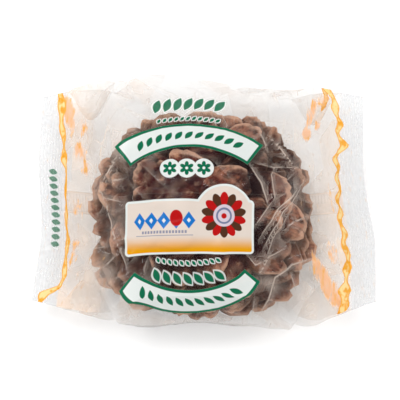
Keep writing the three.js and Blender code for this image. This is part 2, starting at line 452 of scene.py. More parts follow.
@dataclass(frozen=True)
class FleshFinish:
    """Mottled brown fibrous cap skin, paler at its rim, over a creamy pored underside.

    Scales count a pattern's repeats to the metre, but those of fibres and zones run over a cap.
    The skin is darker round middle: painted shade for the crowded crown.
    """

    middle: Pair = (0.0, -7.7)
    dark: Colour = linear(60, 22, 23)
    skin: Colour = linear(112, 57, 45)
    tan: Colour = linear(184, 136, 106)
    rim: Colour = linear(206, 164, 138)
    russet: Colour = linear(112, 46, 34)
    # A dark purple-brown for the fibres and flecks, also laid as painted shade in the blotches round
    # the middle.
    shade: Colour = linear(36, 9, 15)
    # Painted shade for the hollows between the caps.
    hollow: Colour = linear(26, 5, 11)
    pores: Colour = linear(190, 168, 144)
    stalk: Colour = linear(198, 178, 154)
    # The coats that follow the lightness and the blotches also lay painted shade round the middle of
    # the cluster.
    top_coats: tuple[Coat, ...] = (
        Coat("age", (0.6, 0.94), 1.0, skin),
        Coat("older_and_crown_shade", (0.84, 1.06), 0.9, tan),
        Coat("patches", (0.54, 0.78), 0.7, russet),
        Coat("fibres", (0.48, 0.66), 0.5, shade),
        Coat("pale", (0.53, 0.65), 0.75, tan),
        Coat("blotches_and_crown_shade", (0.47, 0.36), 0.85, shade),
        Coat("bands", None, 0.14, rim),
        Coat("margin", (0.955, 0.99), 0.6, rim),
        Coat("flecks", (0.54, 0.7), 0.2, rim),
        Coat("flecks", (0.46, 0.34), 0.45, shade))
    stalk_coats: tuple[Coat, ...] = (
        Coat("blotch", (0.36, 0.7), 1.0, pores),
        Coat("flecks", (0.52, 0.72), 0.3, tan))
    blotch_scale: float = 150.0
    cloud_scale: float = 46.0
    fleck_scale: float = 420.0
    pore_scale: float = 1400.0
    fibre_scale: tuple[float, float, float] = (22.0, 4.0, 40.0)
    zone_scale: float = 52.0
    zone_drift: float = 9.0
    zone_from: Pair = (0.55, 0.85)
    # Painted shade round the middle: where it starts and where it is full, and how much it darkens the
    # skin.
    crown_shade_reach: Pair = (50.0, 12.0)
    crown_shade: float = 0.3
    first_age: float = 0.08
    blotch_age: float = 0.35
    cloud_age: float = 0.3
    tone_age: float = 0.3
    stalk_until: Pair = (0.5, 0.25)
    # Painted shade in the hollows: the depths where it rises, and its strength at the rim and round the
    # middle.
    hollow_shade_from: Pair = (0.03, 0.4)
    hollow_shade_strength: Pair = (0.78, 0.98)
    roughness: Pair = (0.5, 0.72)
    gleam: float = 0.08
    fibre_relief: float = 0.7
    zone_relief: float = 0.6
    pore_relief: float = 0.3

    def _patterns(self, graph: Graph) -> dict[str, Wire]:
        """Make the patterns that the coats follow.

        Args:
            graph: The material's graph.

        Returns:
            The patterns by name, with a frond's own marks among them.
        """
        place = graph.object_place()
        marks = {mark.value: graph.attribute(mark.value) for mark in Mark}
        along, across, tone = (marks[mark.value] for mark in (Mark.ALONG, Mark.ACROSS, Mark.TONE))
        blotch = graph.noise(place, self.blotch_scale, detail=5.0, rough=0.62)
        cloud = graph.noise(place, self.cloud_scale)
        wide, long, apart = self.fibre_scale
        fibres = graph.noise(graph.join(across * wide, along * long, tone * apart), 1.0, detail=4.0)
        zones = (along * self.zone_scale + cloud * self.zone_drift + tone * self.zone_drift).sine()
        zones = zones * 0.5 + 0.5
        x, y, _ = graph.split(place)
        x, y = x - self.middle[0] * MM, y - self.middle[1] * MM
        # inner rises towards the middle, where it lays painted shade.
        outer_edge, inner_edge = self.crown_shade_reach
        inner = graph.ramp((x * x + y * y).root(), outer_edge * MM, inner_edge * MM)
        age = along + (blotch - 0.5) * self.blotch_age + (cloud - 0.5) * self.cloud_age
        age = age + (tone - 0.5) * self.tone_age - inner * self.crown_shade + self.first_age
        cells = graph.wire("ShaderNodeTexVoronoi", {"feature": "F1"},
                           {"Vector": place, "Scale": self.pore_scale}, "Distance")
        return marks | {
            "blotch": blotch, "fibres": fibres, "zones": zones, "inner": inner, "cells": cells,
            "flecks": graph.noise(place, self.fleck_scale, rough=0.6),
            # The lightness and the blotches take the painted shade round the middle from inner.
            "age": age, "older_and_crown_shade": age + tone * 0.14, "patches": cloud + tone * 0.3,
            "pale": blotch - inner * 0.06, "blotches_and_crown_shade": blotch - inner * 0.09,
            "bands": zones * graph.ramp(along, *self.zone_from),
            "margin": along + (blotch - 0.5) * 0.05,
            # How far inside the cluster each place lies, which lays painted shade in the hollows.
            "hollow_shading": marks[Mark.DEEP.value] + (blotch - 0.5) * 0.3}

    def _colour(self, graph: Graph, patterns: dict[str, Wire]) -> Socket:
        """Colour caps, undersides and stalks, and paint shade into the hollows between them.

        Args:
            graph: The material's graph.
            patterns: The patterns by name.

        Returns:
            The colour.
        """
        top: Tint = self.dark
        for coat in self.top_coats:
            top = coat.over(graph, top, patterns)
        stalk: Tint = self.stalk
        for coat in self.stalk_coats:
            stalk = coat.over(graph, stalk, patterns)
        pored = graph.ramp(patterns["cells"], 0.3, 0.7) * 0.5 + 0.4
        under = graph.colour(pored, self.skin, self.pores)
        body = graph.colour(patterns["under"], top, under)
        body = graph.colour(graph.ramp(patterns["along"], *self.stalk_until), body, stalk)
        # Paint shade into the hollows, stronger round the middle.
        outer, middle = self.hollow_shade_strength
        strength = patterns["inner"] * (middle - outer) + outer
        hollow = graph.ramp(patterns["hollow_shading"], *self.hollow_shade_from) * strength
        return graph.colour(hollow, body, self.hollow)

    def make(self) -> bpy.types.Material:
        """Build the material.

        Returns:
            The finished material.
        """
        graph = Graph("maitake_flesh")
        patterns = self._patterns(graph)
        blotch, cells = patterns["blotch"], patterns["cells"]
        relief = graph.bump(patterns["fibres"], self.fibre_relief, 1.0 * MM)
        relief = graph.bump(patterns["zones"] * 0.6 + blotch, self.zone_relief, 1.0 * MM, relief)
        relief = graph.bump(cells * patterns["under"], self.pore_relief, 0.3 * MM, relief)
        shader = graph.node("ShaderNodeBsdfPrincipled", None, {
            "Base Color": self._colour(graph, patterns),
            "Roughness": graph.ramp(blotch, 0.3, 0.8, *self.roughness),
            "Normal": relief, "Specular IOR Level": self.gleam})
        return graph.finish(shader.outputs[0])


@dataclass
class Frond:
    """One stalk with its fan-shaped cap, as drawn for one place in the cluster.

    turn and climb say where its edge stands on the dome, root and reach where its stalk leaves the
    trunk, knee and curl how it bends between them, and short how far its edge stays inside. lean,
    swing and droop tilt it, veer it and lower its sides. lobes holds how far each lobe reaches out.
    """

    turn: float
    climb: float
    root: float
    reach: float
    knee: float
    width: float
    curl: float
    short: float
    ruffle: float
    phase: float
    lean: float
    swing: float
    droop: float
    tone: float
    filler: bool
    lobes: tuple[float, ...]


@dataclass
class Maitake:
    """The cluster of fronds on its cut base, by the same rule as the solid, with finer edges.

    A pair that isn't a range holds a value at the rim and one at the crown.
    """

    # The dome that the caps fill.
    centre: tuple[float, float, float] = (-0.5, -7.7, 17.0)
    radius: tuple[float, float, float] = (56.0, 52.0, 35.0)
    below: float = 17.0
    roundness: float = 2.3
    plan_roundness: float = 2.8
    shadow_depth: float = 0.26
    # The trunk.
    base_height: float = 1.1
    trunk_profile: Line = ((19, 0), (22.5, 3), (22, 10), (25, 18), (22, 28), (14, 36))
    trunk_top: float = 39.0
    trunk_sides: int = 56
    trunk_lump: float = 0.09
    trunk_twist: float = 0.15
    trunk_grain: float = 0.05
    trunk_grain_scale: float = 180.0
    # Where the fronds stand and how each one is drawn.
    frond_count: int = 44
    filler_count: int = 84
    first_turn: float = 0.3
    turn_play: Pair = (-0.12, 0.12)
    climb_play: Pair = (0.9, 1.06)
    rim_height: float = 13.0
    crown_height: float = 53.0
    crown_reach: float = 15.0
    shoulder: float = 0.8
    root_height: Pair = (5.0, 24.0)
    root_reach: Pair = (13.0, -14.0)
    knee: Pair = (0.42, 0.2)
    curl: tuple[Pair, Pair] = ((-9.0, 6.0), (3.0, 11.0))
    short: Pair = (0.0, 4.0)
    filler_short: Pair = (2.0, 7.0)
    lean: Pair = (-0.3, 0.3)
    swing: Pair = (-0.5, 0.5)
    droop: Pair = (0.05, 0.22)
    cap_width: Pair = (37.0, 29.0)
    width_play: Pair = (0.74, 1.18)
    filler_size: float = 0.8
    # A cap's lobes and margin.
    lobe_width: Pair = (11.0, 20.0)
    lobe_reach: Pair = (-2.4, 2.4)
    lobe_round: float = 0.66
    lobe_swell: float = 0.36
    lobe_play: float = 0.16
    tip_round: float = 0.8
    ragged: float = 0.22
    ragged_waves: Pair = (7.0, 11.0)
    ruffle: Pair = (0.8, 2.6)
    ruffle_waves: float = 1.6
    margin_wave: float = 0.8
    margin_waves: float = 5.0
    corrugation: float = 0.22
    corrugation_waves: float = 13.0
    margin_curl: float = 2.6
    margin_curl_from: float = 0.68
    margin_width: float = 1.6
    fan_from: Pair = (0.3, 0.92)
    wave_from: Pair = (0.5, 1.0)
    stalk_half_width: float = 3.8
    stalk_half_thickness: float = 2.8
    cap_half_thickness: float = 1.4
    thin_from: Pair = (0.25, 0.6)
    # The mesh, whose rows and columns close up towards the margin.
    grid: tuple[int, int] = (24, 26)
    filler_grid: tuple[int, int] = (20, 22)
    crowding: float = 1.5
    finish: FleshFinish = FleshFinish()

    def _frond(self, item: int, place: float, filler: bool) -> Frond:
        """Draw one frond.

        Args:
            item: Its number, which seeds its draws.
            place: Its place from the rim, 0, to the crown, 1.
            filler: True for the smaller caps that stand between the main ones.

        Returns:
            The frond.
        """
        golden = math.pi * (3 - math.sqrt(5))
        climb = math.asin(min(1.0, max(0.0, place * drawn(self.climb_play, item, 1) - 0.02)))
        curls = [drawn(span, item, 4) for span in self.curl]
        width = mix(*self.cap_width, place) * drawn(self.width_play, item, 3)
        width *= self.filler_size if filler else 1.0
        short = drawn(self.short, item, 5) + (drawn(self.filler_short, item, 12) if filler else 0.0)
        lobes = max(1, round(width / drawn(self.lobe_width, item, 11)))
        return Frond(
            turn=self.first_turn + (item - 1) * golden + drawn(self.turn_play, item, 2),
            climb=climb, root=mix(*self.root_height, place), reach=mix(*self.root_reach, place ** 2),
            knee=mix(*self.knee, place), width=width, curl=mix(*curls, place), short=short,
            ruffle=drawn(self.ruffle, item, 6), phase=2 * math.pi * draw(item, 7),
            lean=drawn(self.lean, item, 8), swing=drawn(self.swing, item, 14),
            droop=drawn(self.droop, item, 9), tone=draw(item, 10), filler=filler,
            lobes=tuple(drawn(self.lobe_reach, item, 20 + k) for k in range(lobes)))

    def _fronds(self, first: int, count: int, filler: bool) -> list[Frond]:
        """Draw fronds from the rim to the crown, numbered from first."""
        return [self._frond(first + k, (k + 0.5) / count, filler) for k in range(count)]

    def _held(self, points: np.ndarray, room: np.ndarray) -> tuple[np.ndarray, np.ndarray]:
        """Draw points back inside the dome that the cluster fills.

        Args:
            points: The points.
            room: How far each stays from the dome's skin.

        Returns:
            The points, and how far inside the dome each lies, from 0 at the skin to 1, which sets the
            painted shade in the hollows.
        """
        offset = points - np.array(self.centre)
        upward = offset[..., 2] > 0
        reach = np.stack([np.full_like(room, self.radius[0]), np.full_like(room, self.radius[1]),
                          np.where(upward, self.radius[2], self.below)], -1) - room[..., None]
        parts = np.abs(offset / reach)
        plan = (parts[..., :2] ** self.plan_roundness).sum(-1) ** (1 / self.plan_roundness)
        share = (plan ** self.roundness + parts[..., 2] ** self.roundness) ** (1 / self.roundness)
        held = offset / np.maximum(share, 1.0)[..., None] + np.array(self.centre)
        held[..., 2] = np.maximum(held[..., 2], self.base_height + room)
        return held, np.clip((1 - share) / self.shadow_depth, 0.0, 1.0)

    @staticmethod
    def _dome(place: np.ndarray) -> np.ndarray:
        """Give the height of a broad rounded dome over -1 to 1, 1 in its middle."""
        return (1 - 0.975 * np.abs(place) ** 2.1) ** (1 / 2.1)

    def _outline(self, frond: Frond, across: np.ndarray) -> tuple[np.ndarray, np.ndarray]:
        """Shape a cap's lobed margin.

        Args:
            frond: The frond.
            across: Shares from one side, -1, to the other, 1.

        Returns:
            How much less than its length the frond reaches at each place, and how high each place
            stands on its lobe, from 0 in the valley between two to 1 on the middle.
        """
        count = len(frond.lobes)
        warp = self.lobe_play * np.sin(np.pi * across + frond.phase) * (1 - across * across)
        cell = (across + warp + 1) / 2 * count
        which = np.clip(np.floor(cell), 0, count - 1).astype(int)
        local = np.clip(2 * (cell - which) - 1, -1, 1)
        knuckle = self._dome(local)
        tip = frond.width / 2 * self.tip_round * (1 - self._dome(across))
        notch = frond.width / (2 * count) * self.lobe_round * (1 - knuckle)
        longer = np.array(frond.lobes)[which] * (1 - local ** 4)
        for waves, turns in zip(self.ragged_waves, (3, 5)):
            longer = longer + self.ragged * np.sin(waves * np.pi * across + turns * frond.phase)
        return tip * (1 - 0.5 * (count == 1)) + notch - longer, knuckle

    def _spine(self, frond: Frond) -> tuple[np.ndarray, np.ndarray, np.ndarray]:
        """Place the points that a frond's middle line bends between.

        Args:
            frond: The frond.

        Returns:
            Its root, its bend and its edge, each as its reach from the axis and its height.
        """
        away = np.abs([math.cos(frond.turn), math.sin(frond.turn)]) / np.array(self.radius[:2])
        rim = float((away ** self.plan_roundness).sum()) ** (-1 / self.plan_roundness) - frond.short
        rise = self.crown_height - self.rim_height - frond.short
        edge = np.array([max(rim * math.cos(frond.climb) ** self.shoulder, self.crown_reach),
                         self.rim_height + rise * math.sin(frond.climb) ** self.shoulder])
        root = np.array([frond.reach, frond.root])
        bend = np.array([mix(root[0], edge[0], frond.knee), edge[1] + frond.curl])
        return root, bend, edge

    def _lift(self, frond: Frond, along: np.ndarray, across: np.ndarray,
              knuckle: np.ndarray) -> np.ndarray:
        """Ruffle a cap's surface.

        Args:
            frond: The frond.
            along: Shares from the root, 0, to the edge, 1.
            across: Shares from one side, -1, to the other, 1.
            knuckle: How high each place stands on its lobe.

        Returns:
            How far each place lifts from the flat fan.
        """
        near_edge = smooth(*self.wave_from, along)
        turn, phase = np.pi * across, frond.phase
        lift = frond.ruffle * near_edge * np.sin(self.ruffle_waves * turn + phase)
        lift = lift + self.margin_wave * near_edge ** 3 * np.sin(self.margin_waves * turn + 2 * phase)
        lift = lift + self.corrugation * near_edge * np.sin(self.corrugation_waves * turn + 4 * phase)
        lift = lift - frond.droop * frond.width * across * across * near_edge * 0.5
        lobe_half = frond.width / (2 * len(frond.lobes))
        lift = lift + self.lobe_swell * lobe_half * (knuckle - 0.6) * near_edge
        return lift - self.margin_curl * smooth(self.margin_curl_from, 1.0, along) ** 2

    def _thickness(self, along: np.ndarray, across: np.ndarray, length: float,
                   half_width: np.ndarray) -> np.ndarray:
        """Thin a frond from its stalk to its cap, and round its margins.

        Args:
            along: Shares from the root, 0, to the edge, 1.
            across: Shares from one side, -1, to the other, 1.
            length: The frond's length.
            half_width: Its half width at each place.

        Returns:
            Half its thickness at each place.
        """
        thick = mix(self.stalk_half_thickness, self.cap_half_thickness, smooth(*self.thin_from, along))
        ends = ((1 - along) * length, (1 - np.abs(across)) * half_width)
        near_end, near_side = (np.clip(1 - away / self.margin_width, 0, 1) ** 2 for away in ends)
        return thick * np.sqrt(np.clip(1 - near_end - near_side, 0.004, 1))

    def _blade(self, frond: Frond, along: np.ndarray,
               across: np.ndarray) -> tuple[np.ndarray, np.ndarray, np.ndarray, np.ndarray]:
        """Place a frond's middle surface.

        Args:
            frond: The frond.
            along: Shares from the root, 0, to the edge, 1.
            across: Shares from one side, -1, to the other, 1.

        Returns:
            Points, normals, half thicknesses and how far inside the dome each point lies, for the
            painted shade in the hollows.
        """
        outward = np.array([math.cos(frond.turn), math.sin(frond.turn), 0.0])
        sideways = np.array([-outward[1], outward[0], 0.0])
        upward = np.array([0.0, 0.0, 1.0])
        root, bend, edge = self._spine(frond)
        length = float(np.linalg.norm(bend - root) + np.linalg.norm(edge - bend)) * 0.9
        fan = smooth(*self.fan_from, along)
        missing, knuckle = self._outline(frond, across)
        run = along * (1 - fan * missing / length)
        back, ahead = (1 - run)[..., None], run[..., None]
        spine = root * back * back + bend * 2 * back * ahead + edge * ahead * ahead
        heading = (bend - root) * 2 * back + (edge - bend) * 2 * ahead
        heading = heading / np.linalg.norm(heading, axis=-1, keepdims=True)
        veer = (frond.swing * run)[..., None]
        beside = sideways * np.cos(veer) - outward * np.sin(veer)
        tilt = (frond.lean * fan)[..., None]
        normal = outward * -heading[..., 1:2] + upward * heading[..., 0:1] + beside * tilt
        normal = normal / np.linalg.norm(normal, axis=-1, keepdims=True)
        half_width = mix(self.stalk_half_width, frond.width / 2, fan)
        thick = self._thickness(along, across, length, half_width)
        point = np.array([*self.centre[:2], 0.0]) + outward * spine[..., 0:1]
        point = point + upward * spine[..., 1:2]
        point = point + sideways * (length * frond.swing * run * run / 2)[..., None]
        point = point + (beside - normal * tilt) * (half_width * across)[..., None]
        point = point + normal * self._lift(frond, along, across, knuckle)[..., None]
        held, deep = self._held(point, thick)
        return held, normal, thick, deep

    def _grow(self, mesh: bmesh.types.BMesh, frond: Frond) -> None:
        """Add one closed frond: a grid for its underside, extruded and lifted into its top.

        Args:
            mesh: The bmesh that it is added to.
            frond: The frond.
        """
        layers = [mesh.verts.layers.float[mark.value] for mark in Mark]
        steps, span = self.filler_grid if frond.filler else self.grid
        lower = bmesh.ops.create_grid(mesh, x_segments=span, y_segments=steps, size=1.0)["verts"]
        places = np.array([tuple(vert.co.xy) for vert in lower])
        faces = list(dict.fromkeys(face for vert in lower for face in vert.link_faces))
        above = bmesh.ops.extrude_face_region(mesh, geom=faces, use_keep_orig=True)["geom"]
        upper = [item for item in above if isinstance(item, bmesh.types.BMVert)]
        keys = {(round(x, 4), round(y, 4)): k for k, (x, y) in enumerate(places)}
        along = 1 - (1 - (places[:, 1] + 1) / 2) ** self.crowding
        across = np.sin(places[:, 0] * math.pi / 2)
        points, normals, thick, deep = self._blade(frond, along, across)
        sides = [(vert, keys[(round(vert.co.x, 4), round(vert.co.y, 4))], 1) for vert in upper]
        sides += [(vert, k, -1) for k, vert in enumerate(lower)]
        for vert, k, side in sides:
            vert.co = (points[k] + normals[k] * thick[k] * side) * MM
            values = (along[k], across[k], float(side < 0), frond.tone, deep[k])
            for layer, value in zip(layers, values):
                vert[layer] = value

    def _trunk(self, mesh: bmesh.types.BMesh) -> None:
        """Add the trunk, spun from its profile round the cluster's axis.

        Args:
            mesh: The empty bmesh that it starts.
        """
        rings = [(0.0, 0.0), *self.trunk_profile, (0.0, self.trunk_top)]
        verts = [mesh.verts.new((reach * MM, 0, height * MM)) for reach, height in rings]
        edges = [mesh.edges.new(pair) for pair in zip(verts, verts[1:])]
        bmesh.ops.spin(mesh, geom=verts + edges, cent=(0, 0, 0), axis=(0, 0, 1),
                       angle=2 * math.pi, steps=self.trunk_sides, use_merge=True)
        bmesh.ops.remove_doubles(mesh, verts=mesh.verts[:], dist=0.01 * MM)
        bmesh.ops.subdivide_edges(mesh, edges=mesh.edges[:], cuts=1, smooth=1.0,
                                  use_grid_fill=True)
        for vert in mesh.verts:
            turn = 3 * math.atan2(vert.co.y, vert.co.x) + self.trunk_twist * vert.co.z / MM
            swell = 1 + self.trunk_lump * math.sin(turn)
            swell += self.trunk_grain * noise.noise(vert.co * self.trunk_grain_scale)
            vert.co.x *= swell
            vert.co.y *= swell
            vert.co.z = max(0.0, vert.co.z)
        base = Vector((*self.centre[:2], self.base_height)) * MM
        bmesh.ops.translate(mesh, verts=mesh.verts[:], vec=base)

    def _merged(self, fronds: Iterable[Frond], trunk: bool) -> bmesh.types.BMesh:
        """Join fronds in one bmesh with all faces outward.

        Args:
            fronds: The fronds.
            trunk: Whether the trunk is joined to them.

        Returns:
            The bmesh.
        """
        mesh = bmesh.new()
        if trunk:
            self._trunk(mesh)
        for mark in Mark:
            mesh.verts.layers.float.new(mark.value)
        for frond in fronds:
            self._grow(mesh, frond)
        bmesh.ops.recalc_face_normals(mesh, faces=mesh.faces[:])
        return mesh

    def build(self) -> list[bpy.types.Object]:
        """Build and dress the cluster.

        Returns:
            Its two pieces, the main caps and the smaller ones with the trunk.
        """
        flesh = self.finish.make()
        main = self._merged(self._fronds(1, self.frond_count, False), False)
        small = self._merged(self._fronds(201, self.filler_count, True), True)
        pieces = [object_from("maitake_caps", main, flesh), object_from("maitake_inner", small, flesh)]
        for piece in pieces:
            hand_over(piece, Node.CLUSTER)
        return pieces


# ---------------------------------------------------------------------------------------------
# The film's print
# ---------------------------------------------------------------------------------------------


@dataclass(frozen=True)
class Ink:
    """The printing inks, the greys of worked film, and a painted shadow grey for the near bottom edge.
    """

    green: Colour = linear(16, 112, 78)
    pale: Colour = linear(238, 244, 241)
    cream: Colour = linear(238, 224, 212)
    orange: Colour = linear(242, 166, 8)
    amber: Colour = linear(254, 222, 150)
    peach: Colour = linear(250, 188, 138)
    blush: Colour = linear(253, 230, 210)
    blue: Colour = linear(28, 122, 208)
    red: Colour = linear(196, 20, 20)
    brown: Colour = linear(84, 52, 34)
    lilac: Colour = linear(226, 212, 224)
    grey: Colour = linear(120, 128, 160)
    haze: Colour = linear(240, 223, 209)
    seal: Colour = linear(228, 229, 231)
    # Painted shadow along the near bottom fold, where the film also doubles.
    fold: Colour = linear(112, 104, 108)


class Sheet:
    """The flat sheet, for drawing outlines on it as depths inside them in millimetres.

    u runs along the pack and v across it, both in millimetres, from the middle of the ridge line.
    """

    blur = 0.22

    def __init__(self, graph: Graph) -> None:
        """Read the sheet's own coordinates.

        Args:
            graph: The material's graph.
        """
        self.graph = graph
        uv = graph.node("ShaderNodeUVMap", {"uv_map": "sheet"}).outputs[0]
        u, v, _ = graph.split(uv)
        self.u, self.v = u * 1000.0, v * 1000.0

    def inside(self, depth: Wire, margin: float = 0.0) -> Wire:
        """Give 1 where depth inside an outline is past margin."""
        return depth.over(margin, self.blur)

    def box(self, centre: Pair, half: Pair, corner: float) -> Wire:
        """Give the depth inside a rounded rectangle.

        Args:
            centre: Its middle.
            half: Half its width and half its height.
            corner: The radius of its corners.

        Returns:
            The depth, below 0 outside it.
        """
        across = abs(self.u - centre[0]) - (half[0] - corner)
        up = abs(self.v - centre[1]) - (half[1] - corner)
        wide, tall = across.high(0.0), up.high(0.0)
        return corner - ((wide * wide + tall * tall).root() + across.high(up).low(0.0))

    def polar(self, centre: Pair, upward: float = 1.0) -> tuple[Wire, Wire]:
        """Give the distance from centre and the angle from the v axis."""
        return self.turned(self.u - centre[0], (self.v - centre[1]) * upward)

    def turned(self, across: Wire, up: Wire) -> tuple[Wire, Wire]:
        """Turn a place's two parts into a distance and an angle.

        Args:
            across: Its first part.
            up: Its second part.

        Returns:
            The distance, and the angle from the second part's direction.
        """
        radius = (across * across + up * up).root()
        angle = self.graph.node("ShaderNodeMath", {"operation": "ARCTAN2"}, {0: across, 1: up})
        return radius, Wire(self.graph, angle.outputs[0])

    @staticmethod
    def repeated(along: Wire, pitch: float, count: int) -> Wire:
        """Fold along into cells of one pitch, count of them on each side of the middle one."""
        cell = (along / pitch).whole().low(float(count)).high(float(-count))
        return along - cell * pitch

    @staticmethod
    def leaf(along: Wire, aside: Wire, size: Pair, tilt: float) -> Wire:
        """Draw a pointed leaf.

        Args:
            along: The place along the row.
            aside: The place beside it.
            size: Half the leaf's length and half its width.
            tilt: The leaf's angle to the row.

        Returns:
            The depth inside it, as a share of its half width.
        """
        turn, rise = math.cos(tilt), math.sin(tilt)
        tip = (along * turn + aside * rise) / size[0]
        side = abs(aside * turn - along * rise) / size[1]
        return 1.0 - (side + tip * tip)

    def leaves(self, row: "LeafRow | Banner") -> Wire:
        """Draw a row of leaves on an arc.

        Args:
            row: The row.

        Returns:
            The depth inside its leaves, as a share of a leaf's half width.
        """
        away, angle = self.polar(row.centre, row.upward)
        along = self.repeated(angle * row.radius, row.pitch, row.count)
        return self.leaf(along, away - row.radius, row.leaf, row.tilt)


@dataclass(frozen=True)
class Layer:
    """The colour that the film shows at each place, and how much of the light it stops."""

    graph: Graph
    paint: Socket
    cover: Wire

    def inked(self, mask: Wire, ink: Tint, solid: float) -> "Layer":
        """Print an ink on it.

        Args:
            mask: 1 where the ink lies.
            ink: The ink's colour.
            solid: How much of the light the ink stops.

        Returns:
            The printed layer.
        """
        paint = self.graph.colour(mask, self.paint, ink)
        return Layer(self.graph, paint, self.cover.high(mask * solid))


@dataclass(frozen=True)
class LeafRow:
    """A row of leaves printed on an arc, with a pale halo."""

    centre: Pair
    upward: float
    radius: float
    pitch: float
    count: int
    leaf: Pair
    tilt: float
    halo: float

    def printed(self, sheet: Sheet, film: Layer, ink: Ink) -> Layer:
        """Print the row.

        Args:
            sheet: The sheet.
            film: The film so far.
            ink: The inks.

        Returns:
            The printed film.
        """
        depth = sheet.leaves(self)
        film = film.inked(depth.over(-self.halo, 0.5), ink.pale, 0.8)
        return film.inked(depth.over(0.0, 0.3), ink.green, 0.95)


@dataclass(frozen=True)
class Banner:
    """A bordered band printed round part of the label, with a row of leaves in it.

    It is swell fuller in its middle than half_width, and reaches half_angle to each side.
    """

    centre: Pair
    upward: float
    radius: float
    half_width: float
    swell: float
    half_angle: float
    leaf: Pair
    pitch: float
    count: int
    tilt: float = 0.9
    border: float = 1.5

    def printed(self, sheet: Sheet, film: Layer, ink: Ink) -> Layer:
        """Print the banner.

        Args:
            sheet: The sheet.
            film: The film so far.
            ink: The inks.

        Returns:
            The printed film.
        """
        away, angle = sheet.polar(self.centre, self.upward)
        half = (1.0 - angle * angle / self.half_angle ** 2) * self.swell + self.half_width
        depth = half - abs(away - self.radius)
        depth = depth.low((self.half_angle - abs(angle)) * self.radius)
        fill = sheet.graph.colour(sheet.leaves(self).over(0.0, 0.25), ink.pale, ink.green)
        colour = sheet.graph.colour(sheet.inside(depth, self.border), ink.green, fill)
        return film.inked(sheet.inside(depth), colour, 0.96)


@dataclass(frozen=True)
class Blooms:
    """Three small six-petalled blooms in a row, each on a pale round."""

    centre: Pair = (-8.0, 18.2)
    pitch: float = 8.1
    radius: float = 3.5
    halo: float = 1.3
    heart: float = 0.7

    def printed(self, sheet: Sheet, film: Layer, ink: Ink) -> Layer:
        """Print the blooms.

        Args:
            sheet: The sheet.
            film: The film so far.
            ink: The inks.

        Returns:
            The printed film.
        """
        along = sheet.repeated(sheet.u - self.centre[0], self.pitch, 1)
        away, angle = sheet.turned(along, sheet.v - self.centre[1])
        petals = (abs((angle * 3.0).cosine()) * 0.5 + 0.5) * self.radius
        film = film.inked(sheet.inside(self.radius + self.halo - away), ink.pale, 0.96)
        bloom = (petals - away).over(0.0, 0.3) * (away - self.heart).over(0.0, 0.3)
        return film.inked(bloom, ink.green, 0.96)


@dataclass(frozen=True)
class Rosette:
    """A round flower of red and brown petals with a ringed heart."""

    centre: Pair = (9.8, -4.4)
    petal_pairs: float = 7.0
    petal_from: float = 8.8
    petal_reach: float = 2.2
    heart: float = 5.2
    ring: float = 3.4
    ring_half: float = 0.45
    dot: float = 1.3

    def painted(self, sheet: Sheet, fill: Socket, ink: Ink) -> Socket:
        """Paint the rosette.

        Args:
            sheet: The sheet.
            fill: The label's colour under it.
            ink: The inks.

        Returns:
            The label's colour.
        """
        graph = sheet.graph
        away, angle = sheet.polar(self.centre)
        petals = (angle * self.petal_pairs).cosine()
        reach = abs(petals) * self.petal_reach + self.petal_from
        petal_ink = graph.colour(petals.over(0.0, 0.5), ink.brown, ink.red)
        fill = graph.colour((reach - away).over(0.0, 0.3), fill, petal_ink)
        fill = graph.colour((self.heart - away).over(0.0, 0.3), fill, ink.lilac)
        fill = graph.colour(abs(away - self.ring).under(self.ring_half, 0.3), fill, ink.grey)
        return graph.colour((self.dot - away).over(0.0, 0.3), fill, ink.red)


@dataclass(frozen=True)
class Diamonds:
    """Five hollow blue diamonds, a red drop on the fourth, and a dashed and a thin line below."""

    centre: Pair = (-19.0, -6.8)
    half: Pair = (3.1, 4.2)
    pitch: float = 6.0
    hollow: float = 0.7
    drop_radius: float = 3.1
    drop_height: float = 1.0
    drop_stretch: float = 0.8
    dash_pitch: float = 1.5
    dash_half: Pair = (0.5, 0.7)
    dash_below: float = 5.6
    line_half: Pair = (14.0, 0.2)
    line_below: float = 7.3

    def painted(self, sheet: Sheet, fill: Socket, ink: Ink) -> Socket:
        """Paint the diamonds and the lines.

        Args:
            sheet: The sheet.
            fill: The label's colour under them.
            ink: The inks.

        Returns:
            The label's colour.
        """
        graph = sheet.graph
        along, up = sheet.u - self.centre[0], sheet.v - self.centre[1]
        cell = sheet.repeated(along, self.pitch, 2)
        depth = 1.0 - (abs(cell) / self.half[0] + abs(up) / self.half[1])
        fill = graph.colour(depth.over(0.0, 0.12), fill, ink.blue)
        fill = graph.colour(depth.over(self.hollow, 0.12), fill, ink.pale)
        drop, _ = sheet.turned(along - self.pitch, (up - self.drop_height) * self.drop_stretch)
        fill = graph.colour((self.drop_radius - drop).over(0.0, 0.3), fill, ink.red)
        dashes = abs(sheet.repeated(along, self.dash_pitch, 7)).under(self.dash_half[0], 0.2)
        dashes = dashes * abs(up + self.dash_below).under(self.dash_half[1], 0.3)
        fill = graph.colour(dashes * 0.8, fill, ink.grey)
        thin = abs(up + self.line_below).under(self.line_half[1], 0.25)
        thin = thin * abs(along).under(self.line_half[0], 0.4)
        return graph.colour(thin * 0.7, fill, ink.grey)


